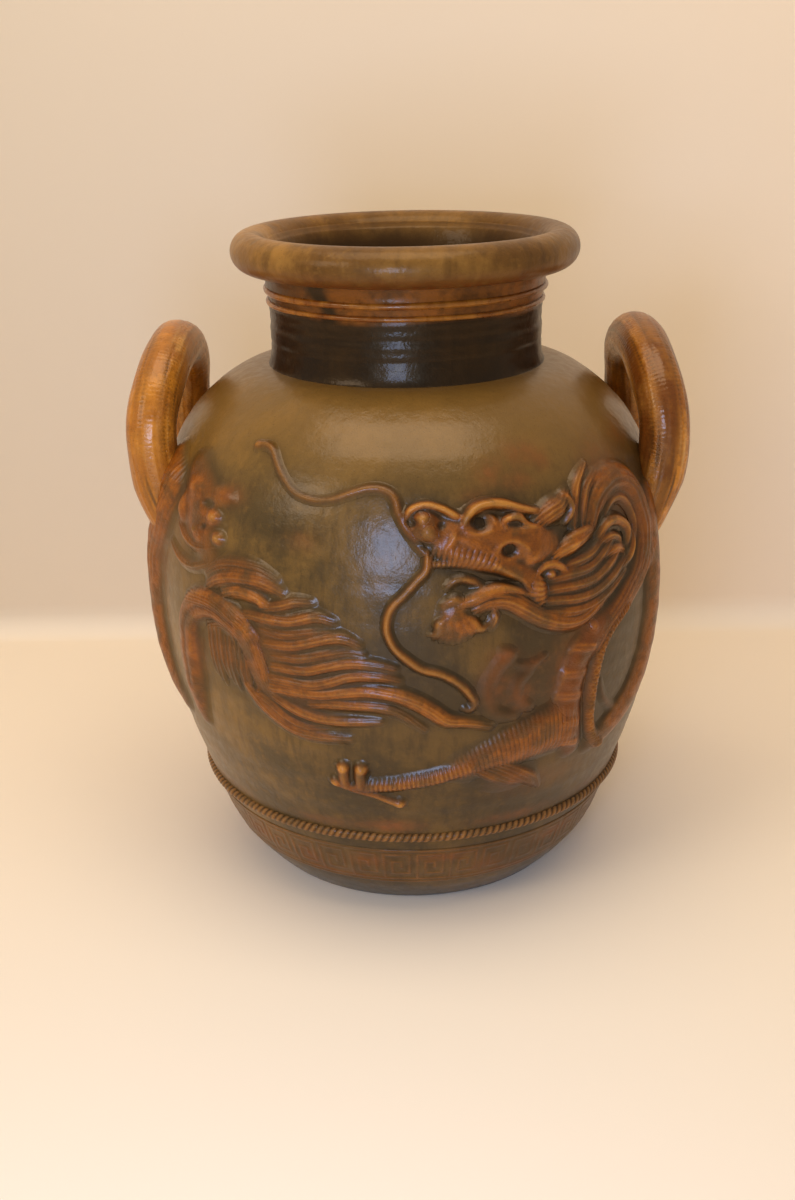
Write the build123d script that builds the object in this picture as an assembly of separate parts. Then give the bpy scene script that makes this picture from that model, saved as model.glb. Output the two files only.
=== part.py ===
from build123d import *
import math
import os

# A martaban storage jar of glazed stoneware with two dragons in relief and two loop handles.
# Millimetres, +Z up, origin at the centre of the base. The front is towards -Y.
# Angles are degrees round the jar, counted from the front towards +X.
# A height share is a share of the wall's length, measured along the outline from the base to the neck.

# Body
foot_radius = 112.0
belly_radius = 176.4
belly_height = 213.0
neck_foot_radius = 94.0
neck_foot_height = 357.5
wall_thickness = 9.0
floor_thickness = 12.0
floor_disc_radius = 100.0
foot_wall_height = 69.0
shoulder_wall_share = 0.685

# The outline between the foot and the belly, then between the belly and the neck:
# shares of the height and of the widening in that stretch.
lower_outline_shares = [(0.103, 0.295), (0.324, 0.598), (0.563, 0.846), (0.845, 0.984)]
upper_outline_shares = [
    (0.235, 0.973), (0.457, 0.905), (0.633, 0.808), (0.765, 0.674),
    (0.869, 0.498), (0.945, 0.316), (0.988, 0.146),
]

# Neck and mouth. The neck stands on the shoulder, and the rim and both rings keep to the neck's top.
neck_radius = 91.5
neck_bore_radius = 85.5
neck_flare_height = 13.0
neck_length = 61.5
neck_top_height = neck_foot_height + neck_length
rim_roll_radius = 12.7
rim_roll_centre_radius = 103.2
rim_roll_rise = 13.0
rim_roll_centre_height = neck_top_height + rim_roll_rise
upper_ring_drop = 11.4
upper_ring_height = neck_top_height - upper_ring_drop
upper_ring_radius = 2.4
lower_ring_drop = 19.6
lower_ring_height = neck_top_height - lower_ring_drop
lower_ring_radius = 1.8

# Bands round the lower wall
rope_height = 70.5
rope_radius = 3.9
fret_bottom_height = 27.0
fret_top_height = 60.0
fret_thickness = 1.2

# Loop handles
handle_angle = 93.5
handle_stance = 119.0
handle_offset = 159.0
handle_bow = 9.0
handle_tuck = 16.0
handle_foot_height = 232.0
handle_spring_height = 314.0
handle_top_height = 366.5
handle_radius = 17.5
handle_foot_share = 0.66
handle_full_share = 0.4
handle_leg_steps = 4
handle_arch_steps = 8

# Relief in general
relief_sink = 0.6
wall_tightest_bend = 60.0
steps_between_places = 2

# Sizes of the relief's pieces
skull_width, skull_height = 27.0, 9.0
face_width, face_height = 31.0, 8.5
muzzle_width, muzzle_height = 25.0, 7.5
snout_width, snout_height = 23.0, 10.0
eye_radius, eye_lift = 5.0, 4.5
nostril_radius, nostril_lift = 4.0, 5.5
brow_width, brow_height = 7.0, 9.0
ear_width, ear_height = 15.0, 8.5
jaw_width, jaw_height = 11.0, 7.0
cheek_width, cheek_height = 18.0, 7.0
beard_width, beard_height = 27.0, 6.0
mane_width, mane_height = 12.0, 6.5
mane_curl_width, mane_curl_height = 8.0, 5.0
whisker_width, whisker_height = 4.6, 3.6
neck_band_width, neck_band_height = 27.0, 7.0
back_ridge_width, back_ridge_height = 11.0, 5.5
body_band_width, body_band_height = 28.0, 7.0
foreleg_width, foreleg_height = 38.0, 8.0
claw_width, claw_height = 7.5, 5.5
tuft_width, tuft_height = 19.0, 5.0
hind_leg_width, hind_leg_height = 24.0, 8.0
hair_width, hair_height = 7.0, 3.5
plume_width, plume_height = 5.8, 5.0
haunch_width, haunch_height = 42.0, 6.5
knob_radius, knob_lift = 4.5, 2.0
flame_width, flame_height = 7.0, 1.8

# Places of the relief: angle, height share and fullness.
face_shares = [(29.5, 0.697, 0.5), (24.5, 0.706, 0.9), (17.6, 0.722, 1.0), (10.5, 0.735, 0.85), (5.5, 0.743, 0.5)]
muzzle_shares = [(24.0, 0.655, 0.75), (17.0, 0.690, 1.0), (9.0, 0.714, 0.95), (3.0, 0.737, 0.6)]
far_brow_shares = [(11.3, 0.746, 0.5), (13.6, 0.770, 1.0), (17.6, 0.775, 0.9), (20.8, 0.756, 0.4)]
near_brow_shares = [(19.2, 0.737, 0.4), (22.0, 0.751, 1.0), (25.0, 0.741, 0.7), (28.0, 0.727, 0.3)]
upper_ear_shares = [(28.6, 0.734, 0.6), (31.6, 0.746, 1.0), (34.0, 0.756, 0.8), (35.4, 0.768, 0.3)]
lower_ear_shares = [(30.5, 0.676, 0.5), (33.8, 0.688, 0.9), (37.4, 0.695, 0.75), (40.6, 0.702, 0.3)]
jaw_shares = [(9.6, 0.630, 0.45), (13.0, 0.640, 0.75), (17.4, 0.646, 0.9), (21.5, 0.640, 1.0), (25.0, 0.626, 0.8)]
beard_shares = [(8.6, 0.634, 0.4), (8.8, 0.612, 0.85), (9.4, 0.589, 1.0), (10.0, 0.568, 0.55)]
mane_lock_shares = [
    [(29.0, 0.650, 0.5), (33.0, 0.655, 1.0), (38.5, 0.660, 0.9), (43.0, 0.676, 0.7), (46.5, 0.698, 0.3)],
    [(28.5, 0.620, 0.5), (34.5, 0.614, 1.0), (41.0, 0.617, 0.9), (46.0, 0.630, 0.7), (49.0, 0.652, 0.3)],
    [(24.5, 0.602, 0.4), (28.0, 0.583, 0.9), (32.5, 0.572, 1.0), (37.5, 0.577, 0.8), (42.5, 0.596, 0.3)],
]
mane_arch_shares = [
    (41.5, 0.722, 0.4), (43.6, 0.747, 0.9), (47.5, 0.766, 1.0), (52.5, 0.769, 1.0),
    (57.0, 0.751, 1.0), (60.0, 0.724, 0.9), (61.3, 0.692, 0.8),
]
mane_crest_shares = [(36.6, 0.717, 0.4), (37.8, 0.756, 0.9), (39.8, 0.785, 1.0), (43.4, 0.803, 0.4)]
mane_curl_shares = [
    [(43.8, 0.695, 0.4), (47.6, 0.711, 1.0), (51.6, 0.704, 1.0), (54.0, 0.678, 0.4)],
    [(44.5, 0.658, 0.4), (48.0, 0.665, 1.0), (51.5, 0.658, 0.5)],
]
upper_whisker_shares = [
    (-39.0, 0.849, 0.9), (-36.9, 0.852, 1.2), (-34.0, 0.846, 1.0), (-29.8, 0.814, 0.9), (-25.6, 0.789, 0.9),
    (-21.0, 0.780, 0.9), (-16.7, 0.782, 0.9), (-12.5, 0.793, 1.0), (-8.6, 0.801, 1.1), (-5.2, 0.799, 1.2),
    (-3.0, 0.787, 1.2),
]
lower_whisker_shares = [
    (3.6, 0.700, 1.0), (3.2, 0.682, 1.0), (1.5, 0.668, 1.0), (-1.3, 0.646, 1.0), (-3.4, 0.630, 1.0),
    (-4.5, 0.612, 1.0), (-4.6, 0.590, 1.0), (-3.2, 0.565, 1.0), (-0.3, 0.544, 1.1), (2.4, 0.530, 1.1),
    (6.0, 0.521, 1.1), (9.6, 0.503, 1.1), (11.7, 0.484, 0.9), (12.8, 0.467, 0.7), (11.9, 0.457, 0.4),
]
neck_band_shares = [
    (60.5, 0.668, 0.45), (59.4, 0.637, 0.55), (55.0, 0.607, 0.7), (48.5, 0.576, 0.85), (41.2, 0.543, 1.0),
    (36.6, 0.508, 0.95), (34.9, 0.470, 0.9), (34.4, 0.430, 0.9), (35.2, 0.390, 0.9), (37.0, 0.352, 0.6),
]
back_ridge_shares = [
    (45.6, 0.546, 0.6), (43.3, 0.520, 1.0), (41.8, 0.490, 1.0), (41.2, 0.450, 1.0), (41.3, 0.410, 1.0),
    (42.2, 0.372, 1.0), (44.8, 0.342, 0.5),
]
body_band_shares = [
    (67.0, 0.700, 0.6), (66.2, 0.640, 0.9), (66.4, 0.575, 1.0), (65.8, 0.505, 1.0), (63.2, 0.438, 1.0),
    (57.6, 0.385, 0.95), (50.0, 0.352, 0.8), (44.5, 0.336, 0.4),
]
foreleg_shares = [
    (31.0, 0.392, 1.0), (26.0, 0.388, 0.88), (20.5, 0.378, 0.74), (15.5, 0.365, 0.52), (11.0, 0.351, 0.36),
    (5.6, 0.338, 0.32), (1.0, 0.330, 0.29), (-3.8, 0.323, 0.27), (-8.6, 0.320, 0.24), (-12.5, 0.317, 0.22),
]
claw_shares = [
    [(-14.0, 0.328, 0.7), (-15.6, 0.342, 0.8), (-14.9, 0.358, 1.0)],
    [(-11.4, 0.328, 0.7), (-11.9, 0.342, 0.8), (-10.3, 0.358, 1.0)],
    [(-13.6, 0.310, 0.7), (-16.0, 0.313, 0.8), (-17.9, 0.322, 1.0)],
    [(-9.6, 0.306, 0.7), (-6.4, 0.296, 0.8), (-3.1, 0.284, 1.1)],
]
tuft_shares = [(15.6, 0.338, 0.6), (19.2, 0.320, 1.0), (23.0, 0.303, 0.9), (26.8, 0.294, 0.4)]
hind_leg_shares = [
    (-54.6, 0.385, 0.8), (-54.8, 0.440, 1.05), (-54.6, 0.500, 1.0), (-53.0, 0.552, 0.85), (-48.6, 0.585, 0.75),
    (-42.2, 0.591, 0.72), (-36.8, 0.573, 0.68), (-33.4, 0.543, 0.62), (-32.4, 0.508, 0.5), (-33.4, 0.474, 0.3),
]
hair_shares = [
    [(-44.6, 0.556, 0.9), (-44.2, 0.524, 1.0), (-43.2, 0.490, 0.3)],
    [(-41.2, 0.556, 0.9), (-40.8, 0.516, 1.0), (-39.8, 0.470, 0.3)],
    [(-38.0, 0.546, 0.9), (-37.8, 0.502, 1.0), (-36.8, 0.452, 0.3)],
]
plume_lock_shares = [
    [(-45.0, 0.624, 0.6), (-41.0, 0.641, 1.0), (-36.0, 0.654, 1.2), (-31.5, 0.650, 1.1), (-28.0, 0.640, 0.4)],
    [(-39.0, 0.620, 0.6), (-35.0, 0.625, 1.1), (-31.2, 0.617, 0.8)],
    [(-30.0, 0.614, 0.5), (-26.0, 0.614, 1.0), (-22.6, 0.623, 0.4)],
    [(-31.0, 0.597, 0.6), (-25.5, 0.595, 1.0), (-20.0, 0.604, 0.9), (-15.6, 0.601, 0.3)],
    [(-28.0, 0.556, 0.6), (-23.0, 0.556, 1.0), (-17.0, 0.573, 1.0), (-13.6, 0.575, 0.8), (-10.8, 0.560, 0.3)],
    [(-27.0, 0.520, 0.7), (-21.0, 0.521, 1.0), (-16.8, 0.531, 1.0), (-12.5, 0.535, 0.8), (-8.4, 0.530, 0.3)],
    [(-27.5, 0.500, 0.8), (-21.5, 0.499, 1.0), (-16.8, 0.507, 1.0), (-12.0, 0.517, 1.0), (-6.4, 0.518, 0.8),
     (-3.2, 0.512, 0.3)],
    [(-28.0, 0.478, 0.9), (-20.0, 0.483, 1.0), (-13.7, 0.490, 1.1), (-8.5, 0.492, 1.1), (-3.3, 0.488, 1.1),
     (0.8, 0.476, 1.1), (4.0, 0.460, 1.1), (7.2, 0.442, 0.9), (11.2, 0.434, 0.7), (14.6, 0.423, 0.3)],
    [(-18.6, 0.462, 0.6), (-13.7, 0.466, 1.0), (-8.5, 0.466, 1.0), (-4.9, 0.461, 0.9), (-1.2, 0.446, 0.3)],
    [(-28.5, 0.464, 0.7), (-23.6, 0.448, 1.0), (-18.8, 0.440, 1.0), (-13.7, 0.439, 0.9), (-7.2, 0.440, 0.3)],
    [(-34.4, 0.474, 0.6), (-32.0, 0.457, 1.0), (-28.4, 0.434, 1.1), (-24.4, 0.419, 1.1), (-20.8, 0.411, 1.0),
     (-15.6, 0.412, 0.3)],
]
flame_shares = [
    [(18.6, 0.530, 0.4), (15.8, 0.500, 1.0), (15.4, 0.465, 1.0), (17.2, 0.440, 0.4)],
    [(23.4, 0.510, 0.4), (21.4, 0.485, 1.0), (23.0, 0.455, 0.9), (24.6, 0.440, 0.4)],
]
skull_place_share = (26.0, 0.702)
snout_place_share = (2.6, 0.748)
cheek_place_share = (26.4, 0.640)
haunch_place_share = (-52.0, 0.712)
eye_place_shares = [(14.3, 0.746), (20.0, 0.703)]
nostril_place_shares = [(2.2, 0.760), (3.2, 0.737)]
knob_place_shares = [(-44.0, 0.727), (-46.5, 0.690), (-41.8, 0.766)]

# What each piece of a dragon lies against, so that it is cut to meet it.
lies_against = {
    "brows": ["eyes"],
    "head": ["eyes", "nostrils", "brows"],
    "ears": ["brows", "head"],
    "lower_jaw": ["head"],
    "beard": ["lower_jaw"],
    "mane_locks": ["head", "ears", "lower_jaw"],
    "mane_crest": ["handle_right", "turned_handle_left", "ears", "mane_locks"],
    "mane_curls": ["ears", "mane_locks", "mane_crest"],
    "upper_whisker": ["head"],
    "lower_whisker": ["head"],
    "neck": ["mane_locks", "mane_crest", "mane_curls", "back_ridge"],
    "foreleg": ["claws", "neck", "back_ridge"],
    "elbow_tuft": ["foreleg"],
    "body": ["handle_right", "turned_handle_left", "neck", "back_ridge", "mane_crest"],
    "tail_plume": ["lower_whisker"],
    "hind_leg": ["tail_plume"],
    "leg_hair": ["hind_leg", "tail_plume"],
    "haunch": ["handle_left", "turned_handle_right", "tail_plume", "hind_leg"],
    "flames": ["neck", "foreleg", "tail_plume", "lower_whisker"],
}
# The front of the jar shows the first dragon's head and the second dragon's hind part.
hind_pieces = ["tail_plume", "hind_leg", "leg_hair", "haunch"]


def body_outline():
    """The outer line of the wall, from the foot to the neck, as a curve in the XZ plane."""
    points = [(foot_radius, 0)]
    for height, widening in lower_outline_shares:
        points.append((foot_radius + widening * (belly_radius - foot_radius), height * belly_height))
    points.append((belly_radius, belly_height))
    for height, widening in upper_outline_shares:
        radius = neck_foot_radius + widening * (belly_radius - neck_foot_radius)
        points.append((radius, belly_height + height * (neck_foot_height - belly_height)))
    points.append((neck_foot_radius, neck_foot_height))
    return Spline(*[(r, 0, z) for r, z in points])


outline = body_outline()


def turned(edges):
    """A solid of revolution about the jar's axis from a closed chain of edges in the XZ plane."""
    return revolve(make_face(edges), Axis.Z)


def filled_body():
    """The body as one full solid up to the foot of the neck."""
    top, bottom = outline @ 1, outline @ 0
    closing = Polyline(top, (0, 0, top.Z), (0, 0, 0), bottom)
    return turned(outline + closing)


def offset_outline(distance, first_share=0.0, last_share=1.0, count=12):
    """The outline moved outwards by a distance, through a few points of it."""
    points = []
    for i in range(count + 1):
        share = first_share + (last_share - first_share) * i / count
        along = outline % share
        points.append(outline @ share + Vector(along.Z, 0, -along.X) * distance)
    return Spline(*points)


def filled_hollow():
    """The space inside the wall, from the floor up into the shoulder."""
    line = offset_outline(-wall_thickness)
    top, bottom = line @ 1, line @ 0
    space = turned(line + Polyline(top, (0, 0, top.Z), (0, 0, bottom.Z), bottom))
    below_floor = Cylinder(belly_radius, floor_thickness, align=(Align.CENTER, Align.CENTER, Align.MIN))
    return space - below_floor


def slab(bottom, top):
    """A disc wider than the jar between two heights."""
    disc = Cylinder(belly_radius + wall_thickness, top - bottom, align=(Align.CENTER, Align.CENTER, Align.MIN))
    return Pos(0, 0, bottom) * disc


def share_at_height(height):
    """The height share of the outline at a height above the base."""
    low, high = 0.0, 1.0
    while high - low > 1e-6:
        middle = (low + high) / 2
        low, high = (middle, high) if (outline @ middle).Z < height else (low, middle)
    return low


def wall_frame(angle, share):
    """A place on the wall: the point, the way round, the way up and the way out."""
    place, along = outline @ share, outline % share
    turn = math.radians(angle)
    east = Vector(math.cos(turn), math.sin(turn), 0)
    outer = Vector(math.sin(turn), -math.cos(turn), 0)
    point = outer * place.X + Vector(0, 0, place.Z)
    up = outer * along.X + Vector(0, 0, along.Z)
    out = outer * along.Z - Vector(0, 0, along.X)
    return point, east, up, out


def smoothed(places):
    """More rows between the rows of a table, on a smooth curve through them."""
    rows = []
    for i in range(len(places) - 1):
        before, start = places[max(i - 1, 0)], places[i]
        end, after = places[i + 1], places[min(i + 2, len(places) - 1)]
        for step in range(steps_between_places):
            t = step / steps_between_places
            rows.append(tuple(
                b + 0.5 * t * (c - a + t * (2 * a - 5 * b + 4 * c - d + t * (3 * (b - c) + d - a)))
                for a, b, c, d in zip(before, start, end, after)
            ))
    return rows + [places[-1]]


def ridge(places, width, height):
    """A rounded strip of clay laid along places on the wall, as wide and high as its fullness says."""
    rows = smoothed(places)
    points = [wall_frame(angle, share)[0] for angle, share, _ in rows]
    sections = []
    for i, (angle, share, fullness) in enumerate(rows):
        point, _, _, out = wall_frame(angle, share)
        ahead = points[min(i + 1, len(points) - 1)] - points[max(i - 1, 0)]
        ahead = (ahead - out * ahead.dot(out)).normalized()
        half = width * fullness / 2
        rise = height * min(1.0, 0.35 + 0.65 * fullness)
        sunk = relief_sink + half * half / (2 * wall_tightest_bend)
        arc = ThreePointArc((-half, -sunk), (0, rise), (half, -sunk))
        across = Plane(origin=point, x_dir=out.cross(ahead), z_dir=ahead)
        sections.append(across * make_face(arc + Line(arc @ 1, arc @ 0)))
    return loft(sections)


def dome(place, width, height):
    """A low round boss of clay on the wall, the cap of a ball that is mostly inside it."""
    ball_radius = (width * width / 4 + height * height) / (2 * height)
    return ball(place, ball_radius, height - ball_radius)


def ball(place, radius, lift):
    """A small ball of clay at a lift above the wall, its pole outwards."""
    point, east, _, out = wall_frame(*place)
    return Plane(origin=point + out * lift, x_dir=east, z_dir=out) * Sphere(radius)


def joined(shapes):
    """Several solids as one, or as a group where they don't touch."""
    return shapes[0] + shapes[1:]


def ridges(tables, width, height):
    """Several strips of clay as one sub-part."""
    return joined([ridge(places, width, height) for places in tables])


def loop_path():
    """The loop's line: places across and up, one leg, then half an ellipse, then the other leg."""
    half, arch_rise = handle_stance / 2, handle_top_height - handle_spring_height
    leg_rise = handle_spring_height - handle_foot_height
    leg = [(-half, handle_foot_height + leg_rise * i / handle_leg_steps) for i in range(handle_leg_steps)]
    arch = []
    for i in range(handle_arch_steps + 1):
        swing = math.pi * i / handle_arch_steps
        arch.append((-half * math.cos(swing), handle_spring_height + arch_rise * math.sin(swing)))
    return leg + arch + [(-across, height) for across, height in reversed(leg)]


def loop_handle(angle):
    """A thick coil of clay that rises from the wall, arches over and comes down beside itself."""
    turn = math.radians(angle)
    outer, side = Vector(math.sin(turn), -math.cos(turn), 0), Vector(math.cos(turn), math.sin(turn), 0)
    centres, radii = [], []
    for across, height in loop_path():
        rise = (height - handle_foot_height) / (handle_top_height - handle_foot_height)
        stand = handle_offset + handle_bow * math.sin(math.pi * rise) - handle_tuck * (1 - rise) ** 3
        centres.append(outer * stand + side * across + Vector(0, 0, height))
        fullness = min(1.0, handle_foot_share + (1 - handle_foot_share) * rise / handle_full_share)
        radii.append(handle_radius * fullness)
    sections = []
    for i, centre in enumerate(centres):
        ahead = centres[min(i + 1, len(centres) - 1)] - centres[max(i - 1, 0)]
        across = Plane(origin=centre, x_dir=outer, z_dir=ahead.normalized())
        sections.append(across * Circle(radii[i]))
    return loft(sections)


def band(bottom, top, thickness):
    """A thin raised band round the wall between two heights."""
    first, last = share_at_height(bottom), share_at_height(top)
    line = offset_outline(thickness, first, last, 4)
    inner = offset_outline(-relief_sink, first, last, 4)
    return turned(line + inner + Line(line @ 0, inner @ 0) + Line(line @ 1, inner @ 1))


def ring(radius, height, section_radius):
    """A round hoop about the jar's axis."""
    return Pos(0, 0, height) * Torus(radius, section_radius)


def body_pieces(core):
    """The thrown pieces of the jar, luted together one on the other."""
    hollow = filled_hollow()
    floor_disc = Cylinder(floor_disc_radius, floor_thickness, align=(Align.CENTER, Align.CENTER, Align.MIN))
    bore = Cylinder(neck_bore_radius, neck_foot_height, align=(Align.CENTER, Align.CENTER, Align.MIN))
    shell = core - hollow
    foot_wall = (shell & slab(0, foot_wall_height)) - floor_disc
    belly_wall = shell & slab(foot_wall_height, belly_height)
    shoulder_top = belly_height + shoulder_wall_share * (neck_foot_height - belly_height)
    shoulder_wall = shell & slab(belly_height, shoulder_top)
    upper_shoulder = (shell & slab(shoulder_top, neck_foot_height)) - bore
    collar_top = neck_foot_height + neck_flare_height
    foot, waist = (neck_foot_radius, 0, neck_foot_height), (neck_radius, 0, collar_top)
    flare = TangentArc(waist, foot, tangent=(0, 0, -1))
    collar = Polyline(
        foot, (neck_bore_radius, 0, neck_foot_height), (neck_bore_radius, 0, neck_top_height),
        (neck_radius, 0, neck_top_height), waist,
    )
    lip_inner = rim_roll_centre_radius - rim_roll_radius
    lip = Polyline(
        (neck_bore_radius, 0, neck_top_height), (neck_radius, 0, neck_top_height),
        (rim_roll_centre_radius, 0, rim_roll_centre_height), (lip_inner, 0, rim_roll_centre_height), close=True,
    )
    return {
        "floor_disc": floor_disc,
        "foot_wall": foot_wall,
        "belly_wall": belly_wall,
        "shoulder_wall": shoulder_wall,
        "upper_shoulder": upper_shoulder,
        "neck_collar": turned(flare + collar),
        "rolled_rim": ring(rim_roll_centre_radius, rim_roll_centre_height, rim_roll_radius) + turned(lip),
    }


def band_pieces(core):
    """The hoops round the neck, the rope and the fret band."""
    neck_core = Cylinder(neck_radius, neck_top_height, align=(Align.CENTER, Align.CENTER, Align.MIN))
    rope_wall = outline @ share_at_height(rope_height)
    return {
        "upper_neck_ring": ring(neck_radius, upper_ring_height, upper_ring_radius) - neck_core,
        "lower_neck_ring": ring(neck_radius, lower_ring_height, lower_ring_radius) - neck_core,
        "rope_band": ring(rope_wall.X, rope_wall.Z, rope_radius) - core,
        "fret_band": band(fret_bottom_height, fret_top_height, fret_thickness) - core,
    }


def dragon_pieces():
    """The pieces of one dragon as laid on, those that lie on top first."""
    eyes = joined([ball(place, eye_radius, eye_lift) for place in eye_place_shares])
    nostrils = joined([ball(place, nostril_radius, nostril_lift) for place in nostril_place_shares])
    head = joined([
        ridge(face_shares, face_width, face_height),
        ridge(muzzle_shares, muzzle_width, muzzle_height),
        dome(skull_place_share, skull_width, skull_height),
        dome(snout_place_share, snout_width, snout_height),
    ])
    haunch = dome(haunch_place_share, haunch_width, haunch_height)
    knobs = [ball(place, knob_radius, knob_lift) for place in knob_place_shares]
    cheek = dome(cheek_place_share, cheek_width, cheek_height)
    return {
        "eyes": eyes,
        "nostrils": nostrils,
        "brows": ridges([far_brow_shares, near_brow_shares], brow_width, brow_height),
        "head": head,
        "ears": ridges([upper_ear_shares, lower_ear_shares], ear_width, ear_height),
        "lower_jaw": ridge(jaw_shares, jaw_width, jaw_height) + cheek,
        "beard": ridge(beard_shares, beard_width, beard_height),
        "mane_locks": ridges(mane_lock_shares, mane_width, mane_height),
        "mane_crest": ridges([mane_arch_shares, mane_crest_shares], mane_width, mane_height),
        "mane_curls": ridges(mane_curl_shares, mane_curl_width, mane_curl_height),
        "upper_whisker": ridge(upper_whisker_shares, whisker_width, whisker_height),
        "lower_whisker": ridge(lower_whisker_shares, whisker_width, whisker_height),
        "back_ridge": ridge(back_ridge_shares, back_ridge_width, back_ridge_height),
        "neck": ridge(neck_band_shares, neck_band_width, neck_band_height),
        "claws": ridges(claw_shares, claw_width, claw_height),
        "foreleg": ridge(foreleg_shares, foreleg_width, foreleg_height),
        "elbow_tuft": ridge(tuft_shares, tuft_width, tuft_height),
        "body": ridge(body_band_shares, body_band_width, body_band_height),
        "tail_plume": ridges(plume_lock_shares, plume_width, plume_height),
        "hind_leg": ridge(hind_leg_shares, hind_leg_width, hind_leg_height),
        "leg_hair": ridges(hair_shares, hair_width, hair_height),
        "haunch": joined([haunch] + knobs),
        "flames": ridges(flame_shares, flame_width, flame_height),
    }


def fitted(core, handles):
    """One dragon's pieces, each cut to lie on the wall and against what it meets."""
    pieces = dict(handles)
    for name, shape in dragon_pieces().items():
        shape = shape - core
        for other in lies_against.get(name, []):
            shape = shape - pieces[other]
        pieces[name] = shape
    return {name: shape for name, shape in pieces.items() if name not in handles}


def save(name, shape):
    """Writes one sub-part under its name."""
    shape.label = name
    export_step(shape, f"parts/{name}.step")


def main():
    """Builds every sub-part and writes it."""
    os.makedirs("parts", exist_ok=True)
    core = filled_body()
    jar = body_pieces(core)
    jar.update(band_pieces(core))
    handles = {
        "handle_right": loop_handle(handle_angle) - core,
        "handle_left": loop_handle(-handle_angle) - core,
    }
    jar.update(handles)
    # The dragon at the back meets the handles turned half round, so its sprigs leave room for both.
    about = Rot(0, 0, 180)
    meets = {**handles, **{f"turned_{name}": about * shape for name, shape in handles.items()}}
    for name, shape in fitted(core, meets).items():
        front, back = ("second", "first") if name in hind_pieces else ("first", "second")
        jar[f"{front}_dragon_{name}"] = shape
        jar[f"{back}_dragon_{name}"] = about * shape
    for name, shape in jar.items():
        save(name, shape)


main()
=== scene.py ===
"""The looks of a martaban storage jar of glazed stoneware, built round its fixed frame.

Metres and the frame's own axes: +Z up the jar's axis, the front towards -Y. Shapes are worked out in
millimetres on the wall, as an angle round the jar (degrees from the front towards +X) and a distance up
the wall's outline, and are turned into metres when a mesh is made.
"""

import logging
import math
from dataclasses import dataclass, field, replace
from enum import Enum

import bpy
import numpy as np
from mathutils import Matrix, Vector


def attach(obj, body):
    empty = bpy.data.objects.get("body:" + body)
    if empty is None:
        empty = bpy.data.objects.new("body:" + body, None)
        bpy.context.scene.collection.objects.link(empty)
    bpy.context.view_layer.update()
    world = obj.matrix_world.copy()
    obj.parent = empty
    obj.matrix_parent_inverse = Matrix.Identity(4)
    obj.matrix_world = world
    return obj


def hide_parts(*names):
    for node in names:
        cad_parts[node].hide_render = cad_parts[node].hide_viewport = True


MM = 0.001
BODY = "root"
log = logging.getLogger("martaban_jar")

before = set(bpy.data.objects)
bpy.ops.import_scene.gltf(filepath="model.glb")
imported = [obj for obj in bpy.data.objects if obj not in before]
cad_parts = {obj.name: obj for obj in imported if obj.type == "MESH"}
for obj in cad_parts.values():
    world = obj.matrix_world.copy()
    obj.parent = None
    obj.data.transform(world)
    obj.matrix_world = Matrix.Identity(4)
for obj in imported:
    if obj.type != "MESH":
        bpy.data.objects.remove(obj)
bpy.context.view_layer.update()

Row = tuple[float, ...]
Table = list[Row]


def linear_colour(code: str) -> tuple[float, float, float, float]:
    """Turns an sRGB colour into the linear colour that a shader takes.

    Args:
        code: The colour as six hex digits after a hash.

    Returns:
        Red, green and blue as linear values, and an alpha of one.
    """
    channels = [int(code[i:i + 2], 16) / 255 for i in (1, 3, 5)]
    linear = [c / 12.92 if c <= 0.04045 else ((c + 0.055) / 1.055) ** 2.4 for c in channels]
    return linear[0], linear[1], linear[2], 1.0


def smooth_rows(places: Table, steps: int) -> np.ndarray:
    """Puts more rows between the rows of a table, on a Catmull-Rom curve through them.

    Args:
        places: The rows, each as long as the others.
        steps: How many rows take the place of one gap.

    Returns:
        The rows as an array, the last row included.
    """
    rows = np.array(places, float)
    padded = np.vstack([rows[:1], rows, rows[-1:]])
    t = (np.arange(steps) / steps)[None, :, None]
    a, b, c, d = (padded[i:len(rows) - 1 + i, None, :] for i in range(4))
    curve = b + 0.5 * t * (c - a + t * (2 * a - 5 * b + 4 * c - d + t * (3 * (b - c) + d - a)))
    return np.vstack([curve.reshape(-1, rows.shape[1]), rows[-1:]])


def natural_spline(knots: np.ndarray, values: np.ndarray, at: np.ndarray) -> np.ndarray:
    """A cubic spline with no bend at its ends, through the values at the knots.

    Args:
        knots: Rising places of the values.
        values: One row of values for each knot.
        at: The places that are asked for.

    Returns:
        One row for each place that is asked for.
    """
    gaps = np.diff(knots)
    count = len(knots)
    matrix = np.eye(count)
    right = np.zeros_like(values)
    for i in range(1, count - 1):
        matrix[i, i - 1:i + 2] = gaps[i - 1], 2 * (gaps[i - 1] + gaps[i]), gaps[i]
        right[i] = 6 * ((values[i + 1] - values[i]) / gaps[i] - (values[i] - values[i - 1]) / gaps[i - 1])
    bends = np.linalg.solve(matrix, right)
    i = np.clip(np.searchsorted(knots, at, side="right") - 1, 0, count - 2)
    gap, low, high = gaps[i][:, None], (at - knots[i])[:, None], (knots[i + 1] - at)[:, None]
    return (
        bends[i] * high ** 3 / (6 * gap) + bends[i + 1] * low ** 3 / (6 * gap)
        + (values[i] / gap - bends[i] * gap / 6) * high + (values[i + 1] / gap - bends[i + 1] * gap / 6) * low
    )


def about_axis(radius: np.ndarray, turn: np.ndarray, level: np.ndarray) -> np.ndarray:
    """Points round the jar's axis, in metres.

    Args:
        radius: Millimetres from the axis.
        turn: Radians from the front towards +X.
        level: Millimetres above the base.

    Returns:
        The points, with the shape that the three share and a last axis of three.
    """
    radius, turn, level = np.broadcast_arrays(radius, turn, level)
    return np.stack([radius * np.sin(turn), -radius * np.cos(turn), level], axis=-1) * MM


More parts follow.
